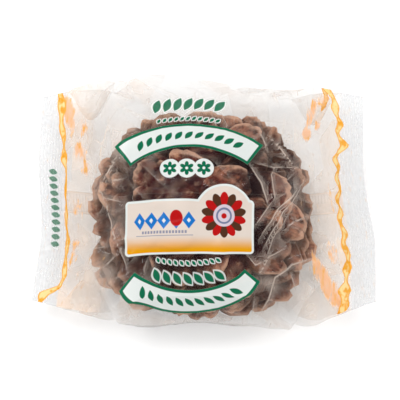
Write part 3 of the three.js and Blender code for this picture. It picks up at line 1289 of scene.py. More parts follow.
@dataclass(frozen=True)
class Label:
    """A pale-edged cream label that fades to orange, with a round hump behind its rosette."""

    centre: Pair = (-7.1, -10.2)
    half: Pair = (31.7, 13.5)
    corner: float = 2.2
    hump_radius: float = 14.8
    border: float = 1.1
    fade: Pair = (-13.5, -21.5)
    rosette: Rosette = Rosette()
    diamonds: Diamonds = Diamonds()

    def printed(self, sheet: Sheet, film: Layer, ink: Ink) -> Layer:
        """Print the label.

        Args:
            sheet: The sheet.
            film: The film so far.
            ink: The inks.

        Returns:
            The printed film.
        """
        graph = sheet.graph
        away, _ = sheet.polar(self.rosette.centre)
        depth = sheet.box(self.centre, self.half, self.corner).high(self.hump_radius - away)
        fill = graph.colour(graph.ramp(sheet.v, *self.fade), ink.cream, ink.orange)
        fill = self.rosette.painted(sheet, fill, ink)
        fill = self.diamonds.painted(sheet, fill, ink)
        colour = graph.colour(sheet.inside(depth, self.border), ink.pale, fill)
        return film.inked(sheet.inside(depth), colour, 0.985)


@dataclass(frozen=True)
class Stain:
    """A soft patch of thin orange ink."""

    centre: Pair
    half: Pair
    tilt: float
    strength: float

    def depth(self, u: np.ndarray, v: np.ndarray) -> np.ndarray:
        """Find how far places lie inside.

        Args:
            u: The places along the sheet.
            v: The places across it.

        Returns:
            1 in the middle, 0 at the rim and less outside.
        """
        turn, rise = math.cos(self.tilt), math.sin(self.tilt)
        across, up = u - self.centre[0], v - self.centre[1]
        side = (across * turn + up * rise) / self.half[0]
        along = (up * turn - across * rise) / self.half[1]
        return 1 - side * side - along * along


@dataclass(frozen=True)
class Ribbon:
    """A wavy ribbon printed beside a seal, as places along it and its half widths there.

    Each place is a pair of v and u, and each width a pair of v and the half width.
    """

    path: Line
    widths: Line
    wave: float
    wave_length: float

    def aside(self, u: np.ndarray, v: np.ndarray) -> np.ndarray:
        """Give how far a place lies to one side of the ribbon's middle."""
        wave = self.wave * np.sin(2 * np.pi * v / self.wave_length)
        return u - wave - np.interp(v, *zip(*self.path))

    def half_width(self, v: np.ndarray) -> np.ndarray:
        """Give the ribbon's half width, fuller and thinner by turns."""
        swell = 1 + 0.3 * np.sin(2 * np.pi * v / (self.wave_length * 0.8) + 1)
        return np.interp(v, *zip(*self.widths)) * swell


LEFT_RIBBON = Ribbon(
    ((-45, -79.5), (-39, -77), (-34, -70.5), (-29, -69), (-13, -70), (2, -71), (24, -69.3),
     (39, -71), (53, -73), (64, -74.5)),
    ((-45, 1.1), (-38, 2.2), (-31, 1.3), (-10, 0.75), (14, 0.55), (24, 0.8), (30, 1.5),
     (36, 0.9), (46, 1.4), (64, 2.0)), 0.3, 17.0)
RIGHT_RIBBON = Ribbon(
    ((-46, 65), (-43, 66), (-37, 68.4), (-30, 68), (-24, 70.4), (-19, 69), (-9, 68), (3, 68),
     (19, 70), (29, 69), (36, 73), (43, 70.3), (47, 70.6), (56, 68), (61, 64.5), (68, 62)),
    ((-46, 1.0), (-41, 2.8), (-35, 2.9), (-31, 1.3), (-24, 1.8), (-10, 1.3), (8, 1.1),
     (22, 1.1), (36, 1.8), (44, 1.3), (55, 2.2), (68, 1.6)), 0.8, 11.0)
STAINS = (
    Stain((-68.8, 51.0), (3.2, 11.0), 0.34, 1.0), Stain((-60.0, 42.0), (2.0, 5.5), 0.1, 0.55),
    Stain((-61.5, 31.0), (3.8, 5.0), 0.3, 0.75), Stain((-59.0, 23.0), (2.2, 5.4), 0.0, 0.55),
    Stain((-65.0, 2.0), (2.8, 11.0), 0.1, 0.4), Stain((-66.0, -18.0), (2.8, 11.0), -0.1, 0.5),
    Stain((54.5, 48.5), (2.6, 9.0), -0.3, 0.8), Stain((58.4, 43.0), (1.9, 3.0), 0.0, 0.9),
    Stain((52.2, 38.6), (3.4, 3.2), 0.5, 1.0), Stain((61.0, 56.0), (5.0, 2.6), 0.5, 0.5),
    Stain((58.6, -31.0), (3.2, 11.5), 0.5, 1.0), Stain((64.6, -38.0), (2.2, 8.0), 0.25, 0.85),
    Stain((62.5, -19.0), (2.4, 5.0), 0.1, 0.6), Stain((63.5, 8.0), (1.8, 9.0), 0.1, 0.3))


@dataclass(frozen=True)
class FilmFinish:
    """Thin glossy clear film with its printed inks, hazier where it is creased or doubled, with painted
    highlights, sheen and facet reflections, and painted shadow at the near bottom edge.
    """

    # The print.
    ink: Ink = Ink()
    banners: tuple[Banner, ...] = (
        Banner((-7.2, -17.0), 1.0, 53.9, 6.8, 0.6, 0.65, (3.0, 1.5), 5.0, 5),
        Banner((-6.8, -10.3), -1.0, 38.3, 4.7, 2.8, 0.9, (3.4, 1.35), 4.7, 5))
    leaf_rows: tuple[LeafRow, ...] = (
        LeafRow((-7.5, -17.0), 1.0, 73.3, 5.1, 3, (3.9, 1.9), 1.05, 0.5),
        LeafRow((-7.5, -17.0), 1.0, 64.6, 2.9, 5, (1.5, 0.75), 0.9, 0.9),
        LeafRow((-7.5, 24.0), -1.0, 59.7, 5.0, 3, (3.3, 1.6), 0.95, 0.6),
        LeafRow((-7.5, 31.7), -1.0, 60.0, 2.9, 5, (1.4, 0.7), 0.9, 0.9))
    blooms: Blooms = Blooms()
    label: Label = Label()
    print_reach: float = 74.0
    panel_reach: float = 46.5
    # The inks beside the seals.
    left: Ribbon = LEFT_RIBBON
    right: Ribbon = RIGHT_RIBBON
    ribbon_ragged: float = 1.6
    ribbon_edge: float = 0.65
    stains: tuple[Stain, ...] = STAINS
    stain_soft: float = 0.55
    stain_most: float = 1.4
    stain_levels: Pair = (0.15, 1.15)
    stain_ragged: float = 3.0
    brush_scale: Pair = (0.55, 0.16)
    seal_leaf_at: Pair = (-75.8, 5.0)
    seal_leaf_pitch: float = 3.6
    seal_leaf: Pair = (1.5, 2.2)
    # The film's own haze.
    cloud_size: float = 15.0
    milky_from: Pair = (30.0, 52.0)
    near_share: float = 0.68
    far_share: float = 0.9
    ends_from: Pair = (52.0, 62.0)
    least_haze: float = 0.003
    rim_haze: float = 0.045
    patchy_haze: float = 0.165
    end_haze: float = 0.08
    # Crease lines: whitened film and partly painted highlight, with a painted sheen to one side.
    crease_half: float = 0.35
    crease_blur: float = 0.75
    crease_whitening_and_highlight: float = 0.6
    sheen: float = 0.26
    # How much the painted shadow along the near bottom fold covers.
    fold_shadow_haze: float = 0.5
    # Cells of the painted facet reflections.
    facet_reflection_scale: float = 0.085
    seal_from: float = 71.0
    seal_haze: Pair = (0.27, 0.4)
    crimp_pitch: float = 1.5
    crimp_haze: float = 0.045
    lap_half_width: float = 5.0
    lap_haze: float = 0.36
    lap_edge_haze: float = 0.6
    blush_from: Pair = (52.0, 64.0)
    # The plastic.
    grain_scale: float = 190.0
    clear: Colour = (0.972, 0.973, 0.973)
    most_cover: float = 0.985
    glow: float = 0.3
    gloss_roughness: float = 0.07
    gloss_rim: float = 0.13

    def marks(self, flat: np.ndarray) -> dict[str, np.ndarray]:
        """Work out the soft parts of the print for each place on the sheet.

        Args:
            flat: Places on the flat sheet in millimetres, of shape (stations, round, 2).

        Returns:
            Named values: how far a place lies aside of the nearer ribbon and that ribbon's half
            width, how strongly orange stains show, and how milky the film is.
        """
        u, v = flat[..., 0], flat[..., 1]
        left = u < 0
        stain = np.zeros(u.shape)
        for patch in self.stains:
            inside = np.clip(patch.depth(u, v) + self.stain_soft, 0.0, self.stain_most)
            stain = np.maximum(stain, inside * patch.strength)
        places = (Vector((a / self.cloud_size, b / self.cloud_size, 4.2))
                  for a, b in flat.reshape(-1, 2))
        cloud = np.array([noise.fractal(place, 1.0, 2.0, 3) for place in places]).reshape(u.shape)
        away = np.hypot(u, v * np.where(v < 0, self.near_share, self.far_share))
        rim = smooth(*self.milky_from, away + cloud * 9.0)
        ends = smooth(*self.ends_from, np.abs(u) + cloud * 4.0)
        milk = self.rim_haze + self.patchy_haze * smooth(-0.25, 0.55, cloud)
        return {
            "ribbon": np.where(left, self.left.aside(u, v), self.right.aside(u, v)),
            "ribbon_half": np.where(left, self.left.half_width(v), self.right.half_width(v)),
            "stain": stain,
            "veil": self.least_haze + rim * milk + ends * self.end_haze}

    def _worked(self, sheet: Sheet, grain: Wire) -> Layer:
        """Haze the film where it is creased, loose, lapped or sealed, and paint highlights, sheen,
        facet reflections and the near bottom edge's shadow on it.

        Args:
            sheet: The sheet.
            grain: A fine cloudy pattern.

        Returns:
            The film before it is printed.
        """
        graph, ink = sheet.graph, self.ink
        away = abs(sheet.u)
        seal = away.over(self.seal_from, 1.0)
        crease, offset = graph.attribute("crease"), graph.attribute("offset")
        # The milky veil turns lighter and darker cell by cell: painted reflections of crumpled facets.
        facets = graph.wire("ShaderNodeTexVoronoi", {"voronoi_dimensions": "2D"}, {
            "Vector": graph.join(sheet.u + sheet.v * 0.5, sheet.v * 0.6 - sheet.u * 0.3, 0.0),
            "Scale": self.facet_reflection_scale}, "Color")
        facet_reflection = graph.ramp(facets, 0.25, 0.75, 0.25, 1.9)
        haze = graph.attribute("veil") * facet_reflection * (grain * 0.5 + 0.75)
        # Whitened film along each crease, partly painted highlight.
        line = crease * abs(offset).under(self.crease_half, self.crease_blur)
        haze = haze.high(line * self.crease_whitening_and_highlight)
        haze = haze.high(crease * graph.ramp(offset, -0.2, 0.3) * self.sheen)
        ribs = (sheet.u * (2 * math.pi / self.crimp_pitch)).cosine() * self.crimp_haze
        haze = haze.high(seal * (ribs + graph.ramp(grain, 0.4, 0.7, *self.seal_haze)))
        lap = abs(graph.attribute("lap"))
        haze = haze.high(lap.under(self.lap_half_width, 0.3) * (ribs + self.lap_haze))
        edge = abs(lap - self.lap_half_width).under(0.5, 0.3)
        haze = haze.high(edge * self.lap_edge_haze)
        # Paint shadow along the near bottom fold.
        fold = graph.attribute("fold")
        colour = graph.colour(graph.ramp(away, *self.blush_from), ink.haze, ink.blush)
        colour = graph.colour(seal, graph.colour(fold, colour, ink.fold), ink.seal)
        return Layer(graph, colour, haze.high(fold * self.fold_shadow_haze))

    def _ends(self, sheet: Sheet, film: Layer, grain: Wire) -> Layer:
        """Print the stains, the orange ribbon beside each seal and the leaves on the left one.

        Args:
            sheet: The sheet.
            film: The film so far.
            grain: A fine cloudy pattern.

        Returns:
            The printed film.
        """
        graph, ink = sheet.graph, self.ink
        wide, long = self.brush_scale
        brush = graph.noise(graph.join(sheet.u * wide, sheet.v * long, 0.0), 1.0, detail=4.0)
        stain = graph.attribute("stain") + (brush - 0.5) * self.stain_ragged
        tint = graph.colour(graph.ramp(brush, 0.5, 0.7), ink.peach, ink.orange)
        film = film.inked(graph.ramp(stain, *self.stain_levels), tint, 0.8)
        aside = abs(graph.attribute("ribbon") + (grain - 0.5) * self.ribbon_ragged)
        depth = graph.attribute("ribbon_half") - aside
        hollow = depth.over(self.ribbon_edge, 0.4) * graph.ramp(grain, 0.42, 0.54)
        film = film.inked(depth.over(0.0, 0.5), graph.colour(hollow, ink.orange, ink.amber), 0.94)
        along = sheet.repeated(sheet.v - self.seal_leaf_at[1], self.seal_leaf_pitch, 5)
        leaf = sheet.leaf(along, sheet.u - self.seal_leaf_at[0], self.seal_leaf, 0.3)
        return film.inked(leaf.over(0.0, 0.3), ink.green, 0.8)

    def _panel(self, sheet: Sheet, film: Layer) -> Layer:
        """Print the banners, the rows of leaves, the blooms and the label.

        Args:
            sheet: The sheet.
            film: The film so far.

        Returns:
            The printed film.
        """
        for motif in (*self.banners, *self.leaf_rows, self.blooms, self.label):
            film = motif.printed(sheet, film, self.ink)
        return film

    def _lit(self, film: Layer, clear: Socket) -> Socket:
        """Turn a layer into a shader.

        Args:
            film: The layer.
            clear: The shader of bare film.

        Returns:
            Bare film that turns to a lit skin where the layer covers it.
        """
        graph = film.graph
        skin = graph.node("ShaderNodeBsdfDiffuse", None, {"Color": film.paint}).outputs[0]
        glow = graph.node("ShaderNodeBsdfTranslucent", None, {"Color": film.paint}).outputs[0]
        lit = graph.blend(self.glow, skin, glow)
        return graph.blend(film.cover.low(self.most_cover), clear, lit)

    def make(self) -> bpy.types.Material:
        """Build the material.

        Returns:
            The finished material.
        """
        graph = Graph("clear_film")
        sheet = Sheet(graph)
        grain = graph.noise(graph.object_place(), self.grain_scale, detail=2.5, rough=0.65)
        clear = graph.node("ShaderNodeBsdfTransparent", None, {"Color": self.clear}).outputs[0]
        worked = self._worked(sheet, grain)
        panel, ends = self._panel(sheet, worked), self._ends(sheet, worked, grain)
        on_panel = abs(sheet.u).under(self.panel_reach, 0.01)
        on_print = abs(sheet.v).under(self.print_reach, 0.01)
        front = graph.blend(on_panel, self._lit(ends, clear), self._lit(panel, clear))
        body = graph.blend(on_print, self._lit(worked, clear), front)
        gloss = graph.node("ShaderNodeBsdfGlossy", None, {
            "Color": (1.0, 1.0, 1.0), "Roughness": self.gloss_roughness}).outputs[0]
        rim = graph.wire("ShaderNodeLayerWeight", None, {"Blend": self.gloss_rim}, "Fresnel")
        # Each wall acts once on light that passes it: where the light meets its first face.
        behind = graph.wire("ShaderNodeNewGeometry", None, None, "Backfacing")
        return graph.finish(graph.blend(behind, graph.blend(rim, body, gloss), clear))


# ---------------------------------------------------------------------------------------------
# The film
# ---------------------------------------------------------------------------------------------


class Side(Enum):
    """The four sides of the pack's cross-section, in order round it."""

    TOP = "top"
    FAR = "far"
    BOTTOM = "bottom"
    NEAR = "near"


@dataclass(frozen=True)
class PanelEdge:
    """Heights along one long side of the pack at its middle, and two places across it."""

    corner: float
    shoulder: Pair
    side: float
    foot: float
    flat: float


@dataclass(frozen=True)
class Crease:
    """A sharp fold in the film, as a ridge along a bent line on the flat sheet."""

    places: Line
    strength: float = 1.0
    height: float = 0.9
    width: float = 3.0


@dataclass(frozen=True)
class Facets:
    """One size of the facets of crumpled film."""

    pitch: Pair
    seed: float
    height: float


@dataclass(frozen=True)
class Taut:
    """A stretch of film that is pulled smooth, as an oval on the flat sheet."""

    centre: Pair
    half: Pair
    share: float

    def pulled(self, flat: np.ndarray) -> np.ndarray:
        """Find how smooth the oval pulls each place, from 0 outside it up to its share."""
        away = np.linalg.norm((flat - np.array(self.centre)) / self.half, axis=-1)
        return self.share * smooth(1.0, 0.6, away)


@dataclass(frozen=True)
class Crinkles:
    """The many short faint folds of the looser film round the mushroom."""

    count: int = 130
    reach: Pair = (34.0, 66.0)
    stretch: float = 1.05
    run: Pair = (4.0, 15.0)
    second_run: float = 0.8
    heading: Pair = (-1.3, 1.3)
    bend: Pair = (-0.9, 0.9)
    strength: Pair = (0.2, 0.6)
    height: float = 0.5
    width: float = 2.0

    def creases(self) -> tuple[Crease, ...]:
        """Draw the folds.

        Returns:
            The folds, each bent once.
        """
        folds = []
        for item in range(self.count):
            turn = 2 * math.pi * draw(item, 31)
            reach = drawn(self.reach, item, 32)
            start = Vector((reach * math.cos(turn), reach * self.stretch * math.sin(turn)))
            heading = turn + drawn(self.heading, item, 33)
            run = mix(*self.run, draw(item, 34) ** 2)
            bend = start + Vector((math.cos(heading), math.sin(heading))) * run
            heading += drawn(self.bend, item, 35)
            end = bend + Vector((math.cos(heading), math.sin(heading))) * run * self.second_run
            folds.append(Crease((tuple(start), tuple(bend), tuple(end)),
                                drawn(self.strength, item, 36), self.height, self.width))
        return tuple(folds)


CREASES = (
    Crease(((32, 37), (46, 21))), Crease(((27, 41), (30, 33), (32, 27)), 0.8),
    Crease(((22, 21), (28, 12), (31, 1))), Crease(((35, 20), (33, 16), (34, 1)), 0.8),
    Crease(((25, 22), (34, 20), (46, 21), (53, 23)), 0.7),
    Crease(((55, 18), (36, 0), (27, -16)), 0.9), Crease(((52, 15), (38, -2), (29, -21)), 0.9),
    Crease(((33, 3), (25, -9)), 0.8), Crease(((43, 1), (34, -15), (30, -27)), 0.7),
    Crease(((52, -2), (44, -6), (38, -12)), 0.8), Crease(((41, -19), (32, -24), (25, -36)), 0.8),
    Crease(((54, -22), (43, -26), (34, -33), (26, -59)), 0.9),
    Crease(((24, -44), (23, -61)), 0.6), Crease(((21, -24), (25, -29), (32, -25)), 0.8),
    Crease(((42, -29), (44, -35)), 0.7), Crease(((39, 39), (46, 36)), 0.6),
    Crease(((39, 35), (46, 33)), 0.6), Crease(((-41, 29), (-51, 13))),
    Crease(((-51, 14), (-39, 15)), 0.8), Crease(((-52, 13), (-49, 6), (-39, 3)), 0.8),
    Crease(((-46, 44), (-50, 30), (-52, 18))),
    Crease(((-52, 13), (-48, -3), (-42, -18), (-36, -31)), 0.9),
    Crease(((-56, -3), (-55, -18), (-45, -18)), 0.7), Crease(((-50, -27), (-43, -22)), 0.7),
    Crease(((-54, -24), (-50, -31), (-43, -37)), 0.7), Crease(((-57, 18), (-57, 6)), 0.6),
    Crease(((-10, 26), (2, 22)), 0.35), Crease(((-30, 21), (-16, 7)), 0.35),
    Crease(((4, 23), (13, 13)), 0.35), Crease(((-36, 12), (-28, 4)), 0.4))


@dataclass
class FilmPack:
    """The printed film wrapped round the mushroom, drawn tight over its caps."""

    # The pack's shape, as the solid has it.
    length: float = 166.0
    height: float = 54.0
    seal_width: float = 12.0
    seal_half_span: float = 50.0
    seal_height: float = 17.0
    far_line: Line = ((-83, 51.8), (-71, 54.8), (-47, 59.5), (-30, 63.8), (-8, 61.4), (20, 57.2),
                      (43, 55.2), (62, 55.4), (71, 54.6), (83, 51.8))
    near_line: Line = ((-83, 47.8), (-71, 51.4), (-51, 57.2), (-38, 62.6), (-20, 63.8), (8, 63),
                       (38, 63.8), (49, 62.4), (60, 57.4), (71, 53.3), (83, 48.2))
    bend_reach: float = 7.0
    corner_reach: float = 50.0
    corners_spread: Pair = (0.35, 0.8)
    near: PanelEdge = PanelEdge(43.0, (-29.0, 52.8), 22.0, 3.5, -38.0)
    far: PanelEdge = PanelEdge(36.0, (27.0, 50.0), 21.0, 5.0, 34.0)
    ridge_at: float = -8.0
    full_sharpness: float = 2.4
    full_power: float = 0.9
    back_lifts: Pair = (0.5, 1.25)
    gusset_depth: float = 17.0
    gusset_from: float = 0.58
    gusset_sharpness: float = 1.5
    end_skew: float = 0.053
    end_from: Pair = (0.45, 1.0)
    left_edge: Line = ((-48, 0), (-24, 2.6), (-12, 3.0), (15, -0.4), (34, -0.8), (52, 0))
    right_edge: Line = ((-48, 0), (-17, 1.6), (-5, -0.7), (15, -2.3), (40, -0.8), (52, 0))
    # The plastic and how it is drawn in over the caps.
    wall: float = 0.12
    ply_gap: float = 0.3
    clearance: float = 0.3
    floor_gap: float = 0.02
    probe: float = 14.0
    pull: float = 5.0
    slack: float = 1.0
    tension: float = 60.0
    rounds: int = 500
    pull_blur: int = 30
    seal_hold: float = 14.0
    free_height: Pair = (2.0, 9.0)
    taut: tuple[Taut, ...] = (Taut((-7.0, -46.0), (46.0, 22.0), 0.8),
                              Taut((-26.0, 78.0), (44.0, 28.0), 0.85))
    # Its folds.
    creases: tuple[Crease, ...] = CREASES
    crinkles: Crinkles = Crinkles()
    crease_reach: Pair = (2.6, 1.2)
    crease_ends: Pair = (0.03, 0.97)
    facets: tuple[Facets, ...] = (Facets((17.0, 25.0), 3.1, 1.5), Facets((7.0, 10.0), 9.4, 0.5))
    facet_rise: float = 0.8
    facet_from: Pair = (24.0, 46.0)
    tight_share: float = 0.25
    crimp_pitch: float = 1.5
    crimp_height: float = 0.08
    # The width and the ends of the painted shadow along the near bottom fold.
    fold_shadow_reach: float = 3.5
    fold_shadow_ends: tuple[Pair, Pair] = ((-54.0, -30.0), (32.0, 8.0))
    vent_at: Pair = (36.0, 24.0)
    vent_radius: float = 2.5
    # The mesh.
    body_pitch: float = 1.15
    seal_pitch: float = 0.5
    counts: dict[Side, int] = field(default_factory=lambda: {
        Side.TOP: 112, Side.FAR: 34, Side.BOTTOM: 46, Side.NEAR: 34})
    finish: FilmFinish = FilmFinish()

    @property
    def end(self) -> float:
        """Where each seal begins."""
        return self.length / 2 - self.seal_width

    def _reach_at(self, line: Line, x: np.ndarray) -> np.ndarray:
        """Read a line with its bends rounded.

        Args:
            line: Pairs of a place and the reach there.
            x: The places to read it at.

        Returns:
            The reaches.
        """
        places, reaches = zip(*line)
        offsets = np.linspace(-self.bend_reach, self.bend_reach, 15)
        return np.mean([np.interp(x + offset, places, reaches) for offset in offsets], axis=0)

    def _keys(self, x: np.ndarray) -> dict[Side, list[tuple[Number, Number]]]:
        """Place the corners and middles of the cross-sections.

        Args:
            x: Where the sections stand along the pack.

        Returns:
            The points of each side, as pairs of across and up.
        """
        away = np.minimum(1.0, np.abs(x) / self.end)
        tucked = np.clip((away - self.gusset_from) / (1 - self.gusset_from), 0, 1)
        tuck = self.gusset_depth * np.sin(np.pi * tucked) ** self.gusset_sharpness
        far_reach, near_reach = self._reach_at(self.far_line, x), self._reach_at(self.near_line, x)
        spread = smooth(*self.corners_spread, away)
        far_corner = mix(self.corner_reach, far_reach, spread)
        near_corner = mix(self.corner_reach, near_reach, spread)
        full = np.maximum(0.0, 1 - np.abs(x / self.end) ** self.full_sharpness) ** self.full_power
        closed = smooth(*self.back_lifts, away) / smooth(*self.back_lifts, 1.0)

        def above(height: float) -> np.ndarray:
            """Give a height of the top panel."""
            return mix(self.seal_height + self.ply_gap, height, full)

        def under(height: float) -> np.ndarray:
            """Give a height of the bottom panel."""
            return mix(height, self.seal_height - self.ply_gap, closed)

        def beside(height: float) -> np.ndarray:
            """Give a height of a side's middle."""
            return mix(height, self.seal_height, away)

        near, far = self.near, self.far
        near_top, near_foot = (-near_corner, above(near.corner)), (-near_corner, under(near.foot))
        far_top, far_foot = (far_corner, above(far.corner)), (far_corner, under(far.foot))
        return {
            Side.TOP: [near_top, (near.shoulder[0], above(near.shoulder[1])),
                       (self.ridge_at, above(self.height)),
                       (far.shoulder[0], above(far.shoulder[1])), far_top],
            Side.FAR: [far_top, (far_reach - tuck, beside(far.side)), far_foot],
            Side.BOTTOM: [far_foot, (far.flat, under(0.0)), (0.0, under(0.0)),
                          (near.flat, under(0.0)), near_foot],
            Side.NEAR: [near_foot, (tuck - near_reach, beside(near.side)), near_top],
        }

    @staticmethod
    def _spline(keys: np.ndarray, count: int) -> np.ndarray:
        """Run a Catmull-Rom curve through keys.

        Args:
            keys: Shape (keys, stations, 2).
            count: How many points to give, the last key left out.

        Returns:
            Points of shape (count, stations, 2).
        """
        spans = len(keys) - 1
        points = []
        for k in range(count):
            place = spans * k / count
            span = int(place)
            t = place - span
            p0, p1 = keys[max(span - 1, 0)], keys[span]
            p2, p3 = keys[min(span + 1, spans)], keys[min(span + 2, spans)]
            v0, v1 = (p2 - p0) / 2, (p3 - p1) / 2
            points.append((2 * p1 - 2 * p2 + v0 + v1) * t ** 3
                          + (-3 * p1 + 3 * p2 - 2 * v0 - v1) * t ** 2 + v0 * t + p1)
        return np.stack(points)

    def _stations(self) -> np.ndarray:
        """Place the cross-sections along the pack, close together in the seals.

        Returns:
            Their places, from one end to the other.
        """
        inner = np.linspace(-self.end, self.end, round(2 * self.end / self.body_pitch) + 1)
        steps = round(self.seal_width / self.seal_pitch)
        seal = np.linspace(self.end, self.length / 2, steps + 1)[1:]
        return np.concatenate([-seal[::-1], inner, seal])

    def _surface(self, x: np.ndarray) -> np.ndarray:
        """Shape the smooth pack.

        Args:
            x: Where its sections stand.

        Returns:
            Points of shape (stations, round, 3), each section starting at the back's middle.
        """
        sides = self._keys(x)
        loops = []
        for side, keys in sides.items():
            pairs = np.stack([np.stack(np.broadcast_arrays(y + 0 * x, z + 0 * x), -1)
                              for y, z in keys])
            loops.append(self._spline(pairs, self.counts[side]))
        loop = np.concatenate(loops).transpose(1, 0, 2)
        floor = sides[Side.BOTTOM][2][1]
        loop[..., 1] = np.maximum(loop[..., 1], floor[:, None])
        start = self.counts[Side.TOP] + self.counts[Side.FAR] + self.counts[Side.BOTTOM] // 2
        loop = np.roll(loop, -start, axis=1)
        worked = smooth(*self.end_from, np.abs(x) / self.end)[:, None]
        skew = self.end_skew * worked * (0.5 + loop[..., 0] / (2 * self.seal_half_span))
        along = x[:, None] * (1 - skew)
        for line, side in ((self.left_edge, x < 0), (self.right_edge, x >= 0)):
            along = along + self._reach_at(line, loop[..., 0]) * worked * side[:, None]
        return np.concatenate([along[..., None], loop], -1)

    @staticmethod
    def _normals(points: np.ndarray) -> np.ndarray:
        """Find the outward normals of the tube.

        Args:
            points: The tube, of shape (stations, round, 3).

        Returns:
            The normals, of the same shape.
        """
        along = np.gradient(points, axis=0)
        round_it = np.roll(points, -1, axis=1) - np.roll(points, 1, axis=1)
        normal = np.cross(along, round_it)
        normal = normal / np.maximum(np.linalg.norm(normal, axis=-1, keepdims=True), 1e-9)
        middle = len(points) // 2
        away = points[middle, :, 2] - points[middle, :, 2].mean()
        return normal if float((normal[middle, :, 2] * away).sum()) > 0 else -normal

    def _gaps(self, points: np.ndarray, normals: np.ndarray, tree: BVHTree) -> np.ndarray:
        """Measure how far the mushroom lies under each point of the film.

        Args:
            points: The smooth pack.
            normals: Its outward normals.
            tree: The mushroom's faces, in metres.

        Returns:
            The gap along each normal, or the probe's length where nothing is under it.
        """
        gaps = np.full(points.shape[:2], self.probe)
        for i in np.flatnonzero(np.abs(points[:, 0, 0]) <= self.end):
            for j in range(points.shape[1]):
                start = Vector(points[i, j] * MM)
                hit = tree.ray_cast(start, Vector(-normals[i, j]), self.probe * MM)
                if hit[0] is not None:
                    gaps[i, j] = hit[3] / MM
        return gaps

    def _tautness(self, flat: np.ndarray) -> np.ndarray:
        """Find how tight the film is pulled.

        Args:
            flat: Places on the flat sheet.

        Returns:
            From 0, where it follows the caps, towards 1, where it stays smooth.
        """
        return np.max([oval.pulled(flat) for oval in self.taut], axis=0)

    def _drawn_in(self, gaps: np.ndarray, points: np.ndarray, taut: np.ndarray) -> np.ndarray:
        """Draw the film in until it lies on the caps and hangs taut between them.

        Args:
            gaps: Room under each point.
            points: The smooth pack.
            taut: How tight each place is pulled.

        Returns:
            How far each point moves inwards.
        """
        over = (gaps < self.probe).astype(float)
        for _ in range(self.pull_blur):
            over = self._averaged(over)
        held = smooth(self.end, self.end - self.seal_hold, np.abs(points[:, :1, 0]))
        free = held * smooth(*self.free_height, points[..., 2])
        want = mix(self.slack, self.pull, over) * (1 - taut) * free
        room = np.maximum(gaps - self.clearance - self.wall, 0.0) * free
        moved = np.minimum(want, room)
        for _ in range(self.rounds):
            moved = (self.tension * self._averaged(moved) + want) / (self.tension + 1)
            moved = np.minimum(moved, room)
        return moved

    @staticmethod
    def _averaged(values: np.ndarray) -> np.ndarray:
        """Give each point of the tube the mean of its four neighbours.

        Args:
            values: A value for each point.

        Returns:
            The means.
        """
        ahead = np.concatenate([values[1:], values[-1:]])
        behind = np.concatenate([values[:1], values[:-1]])
        return (ahead + behind + np.roll(values, 1, axis=1) + np.roll(values, -1, axis=1)) / 4

    def _sheet_places(self) -> tuple[np.ndarray, np.ndarray]:
        """Lay the sheet flat.

        Returns:
            The places along it, and those across it, from the ridge and with the last again first.
        """
        middle = self._surface(np.array([0.0]))[0]
        steps = np.linalg.norm(np.diff(middle, axis=0, append=middle[:1]), axis=-1)
        across = np.concatenate([[0.0], np.cumsum(steps)])
        on_top = middle[:, 2] > self.height / 2
        ridge = np.argmin(np.where(on_top, np.abs(middle[:, 1] - self.ridge_at), np.inf))
        return self._stations(), across - across[ridge]

    def _folds(self, flat: np.ndarray) -> tuple[np.ndarray, np.ndarray, np.ndarray]:
        """Raise the creases of the film.

        Args:
            flat: Places on the flat sheet, of shape (stations, round, 2).

        Returns:
            Heights along the normals, how sharply each place is creased, and how far to one
            side of the nearest crease it lies.
        """
        height, sharp = np.zeros(flat.shape[:2]), np.zeros(flat.shape[:2])
        nearest, offset = np.full(flat.shape[:2], np.inf), np.zeros(flat.shape[:2])
        for crease in self.crinkles.creases() + self.creases:
            places = np.array(crease.places, float)
            runs = np.linalg.norm(np.diff(places, axis=0), axis=-1)
            done = np.concatenate([[0.0], np.cumsum(runs)])
            for k, run in enumerate(runs):
                heading = (places[k + 1] - places[k]) / run
                across = flat - places[k]
                along = np.clip(across @ heading, 0, run)
                rest = across - along[..., None] * heading
                away = np.linalg.norm(rest, axis=-1)
                share = np.clip((done[k] + along) / done[-1], *self.crease_ends)
                fade = np.sin(np.pi * share) ** 0.4 * crease.strength
                ridge = crease.height * fade * np.maximum(0.0, 1 - away / crease.width) ** 1.5
                height = np.maximum(height, ridge)
                closer = away < nearest
                nearest = np.where(closer, away, nearest)
                side = rest[..., 1] * heading[0] - rest[..., 0] * heading[1]
                offset = np.where(closer, np.sign(side) * away, offset)
                sharp = np.where(closer, fade * smooth(*self.crease_reach, away), sharp)
        return height, sharp, offset

    def _crumple(self, flat: np.ndarray, points: np.ndarray) -> np.ndarray:
        """Crumple the film into facets that meet in sharp ridges.

        Args:
            flat: Places on the flat sheet, of shape (stations, round, 2).
            points: The smooth pack.

        Returns:
            Heights along the normals.
        """
        heights = np.full(flat.shape[:2], self.facet_rise)
        for facets in self.facets:
            cells = flat / facets.pitch
            for i, j in np.ndindex(heights.shape):
                near, _ = noise.voronoi(Vector((*cells[i, j], facets.seed)), distance_metric="DISTANCE")
                heights[i, j] -= (near[1] - near[0]) * facets.height
        away = np.abs(flat[..., 0])
        loose = mix(self.tight_share, 1.0, smooth(*self.facet_from, away))
        loose = loose * smooth(self.end + 1.0, self.end - 6.0, away) * smooth(1.0, 8.0, points[..., 2])
        return heights * loose

    def _crimped(self, points: np.ndarray, u: np.ndarray) -> np.ndarray:
        """Press the fine ridges of the crimping jaws into both seals.

        Args:
            points: The pack.
            u: The sections' places along the sheet.

        Returns:
            The crimped pack.
        """
        inside = smooth(self.end + 0.6, self.end + 1.6, np.abs(u))
        ridge = np.cos(2 * np.pi * u / self.crimp_pitch) * self.crimp_height * inside
        points = points.copy()
        points[..., 2] += ridge[:, None]
        return points

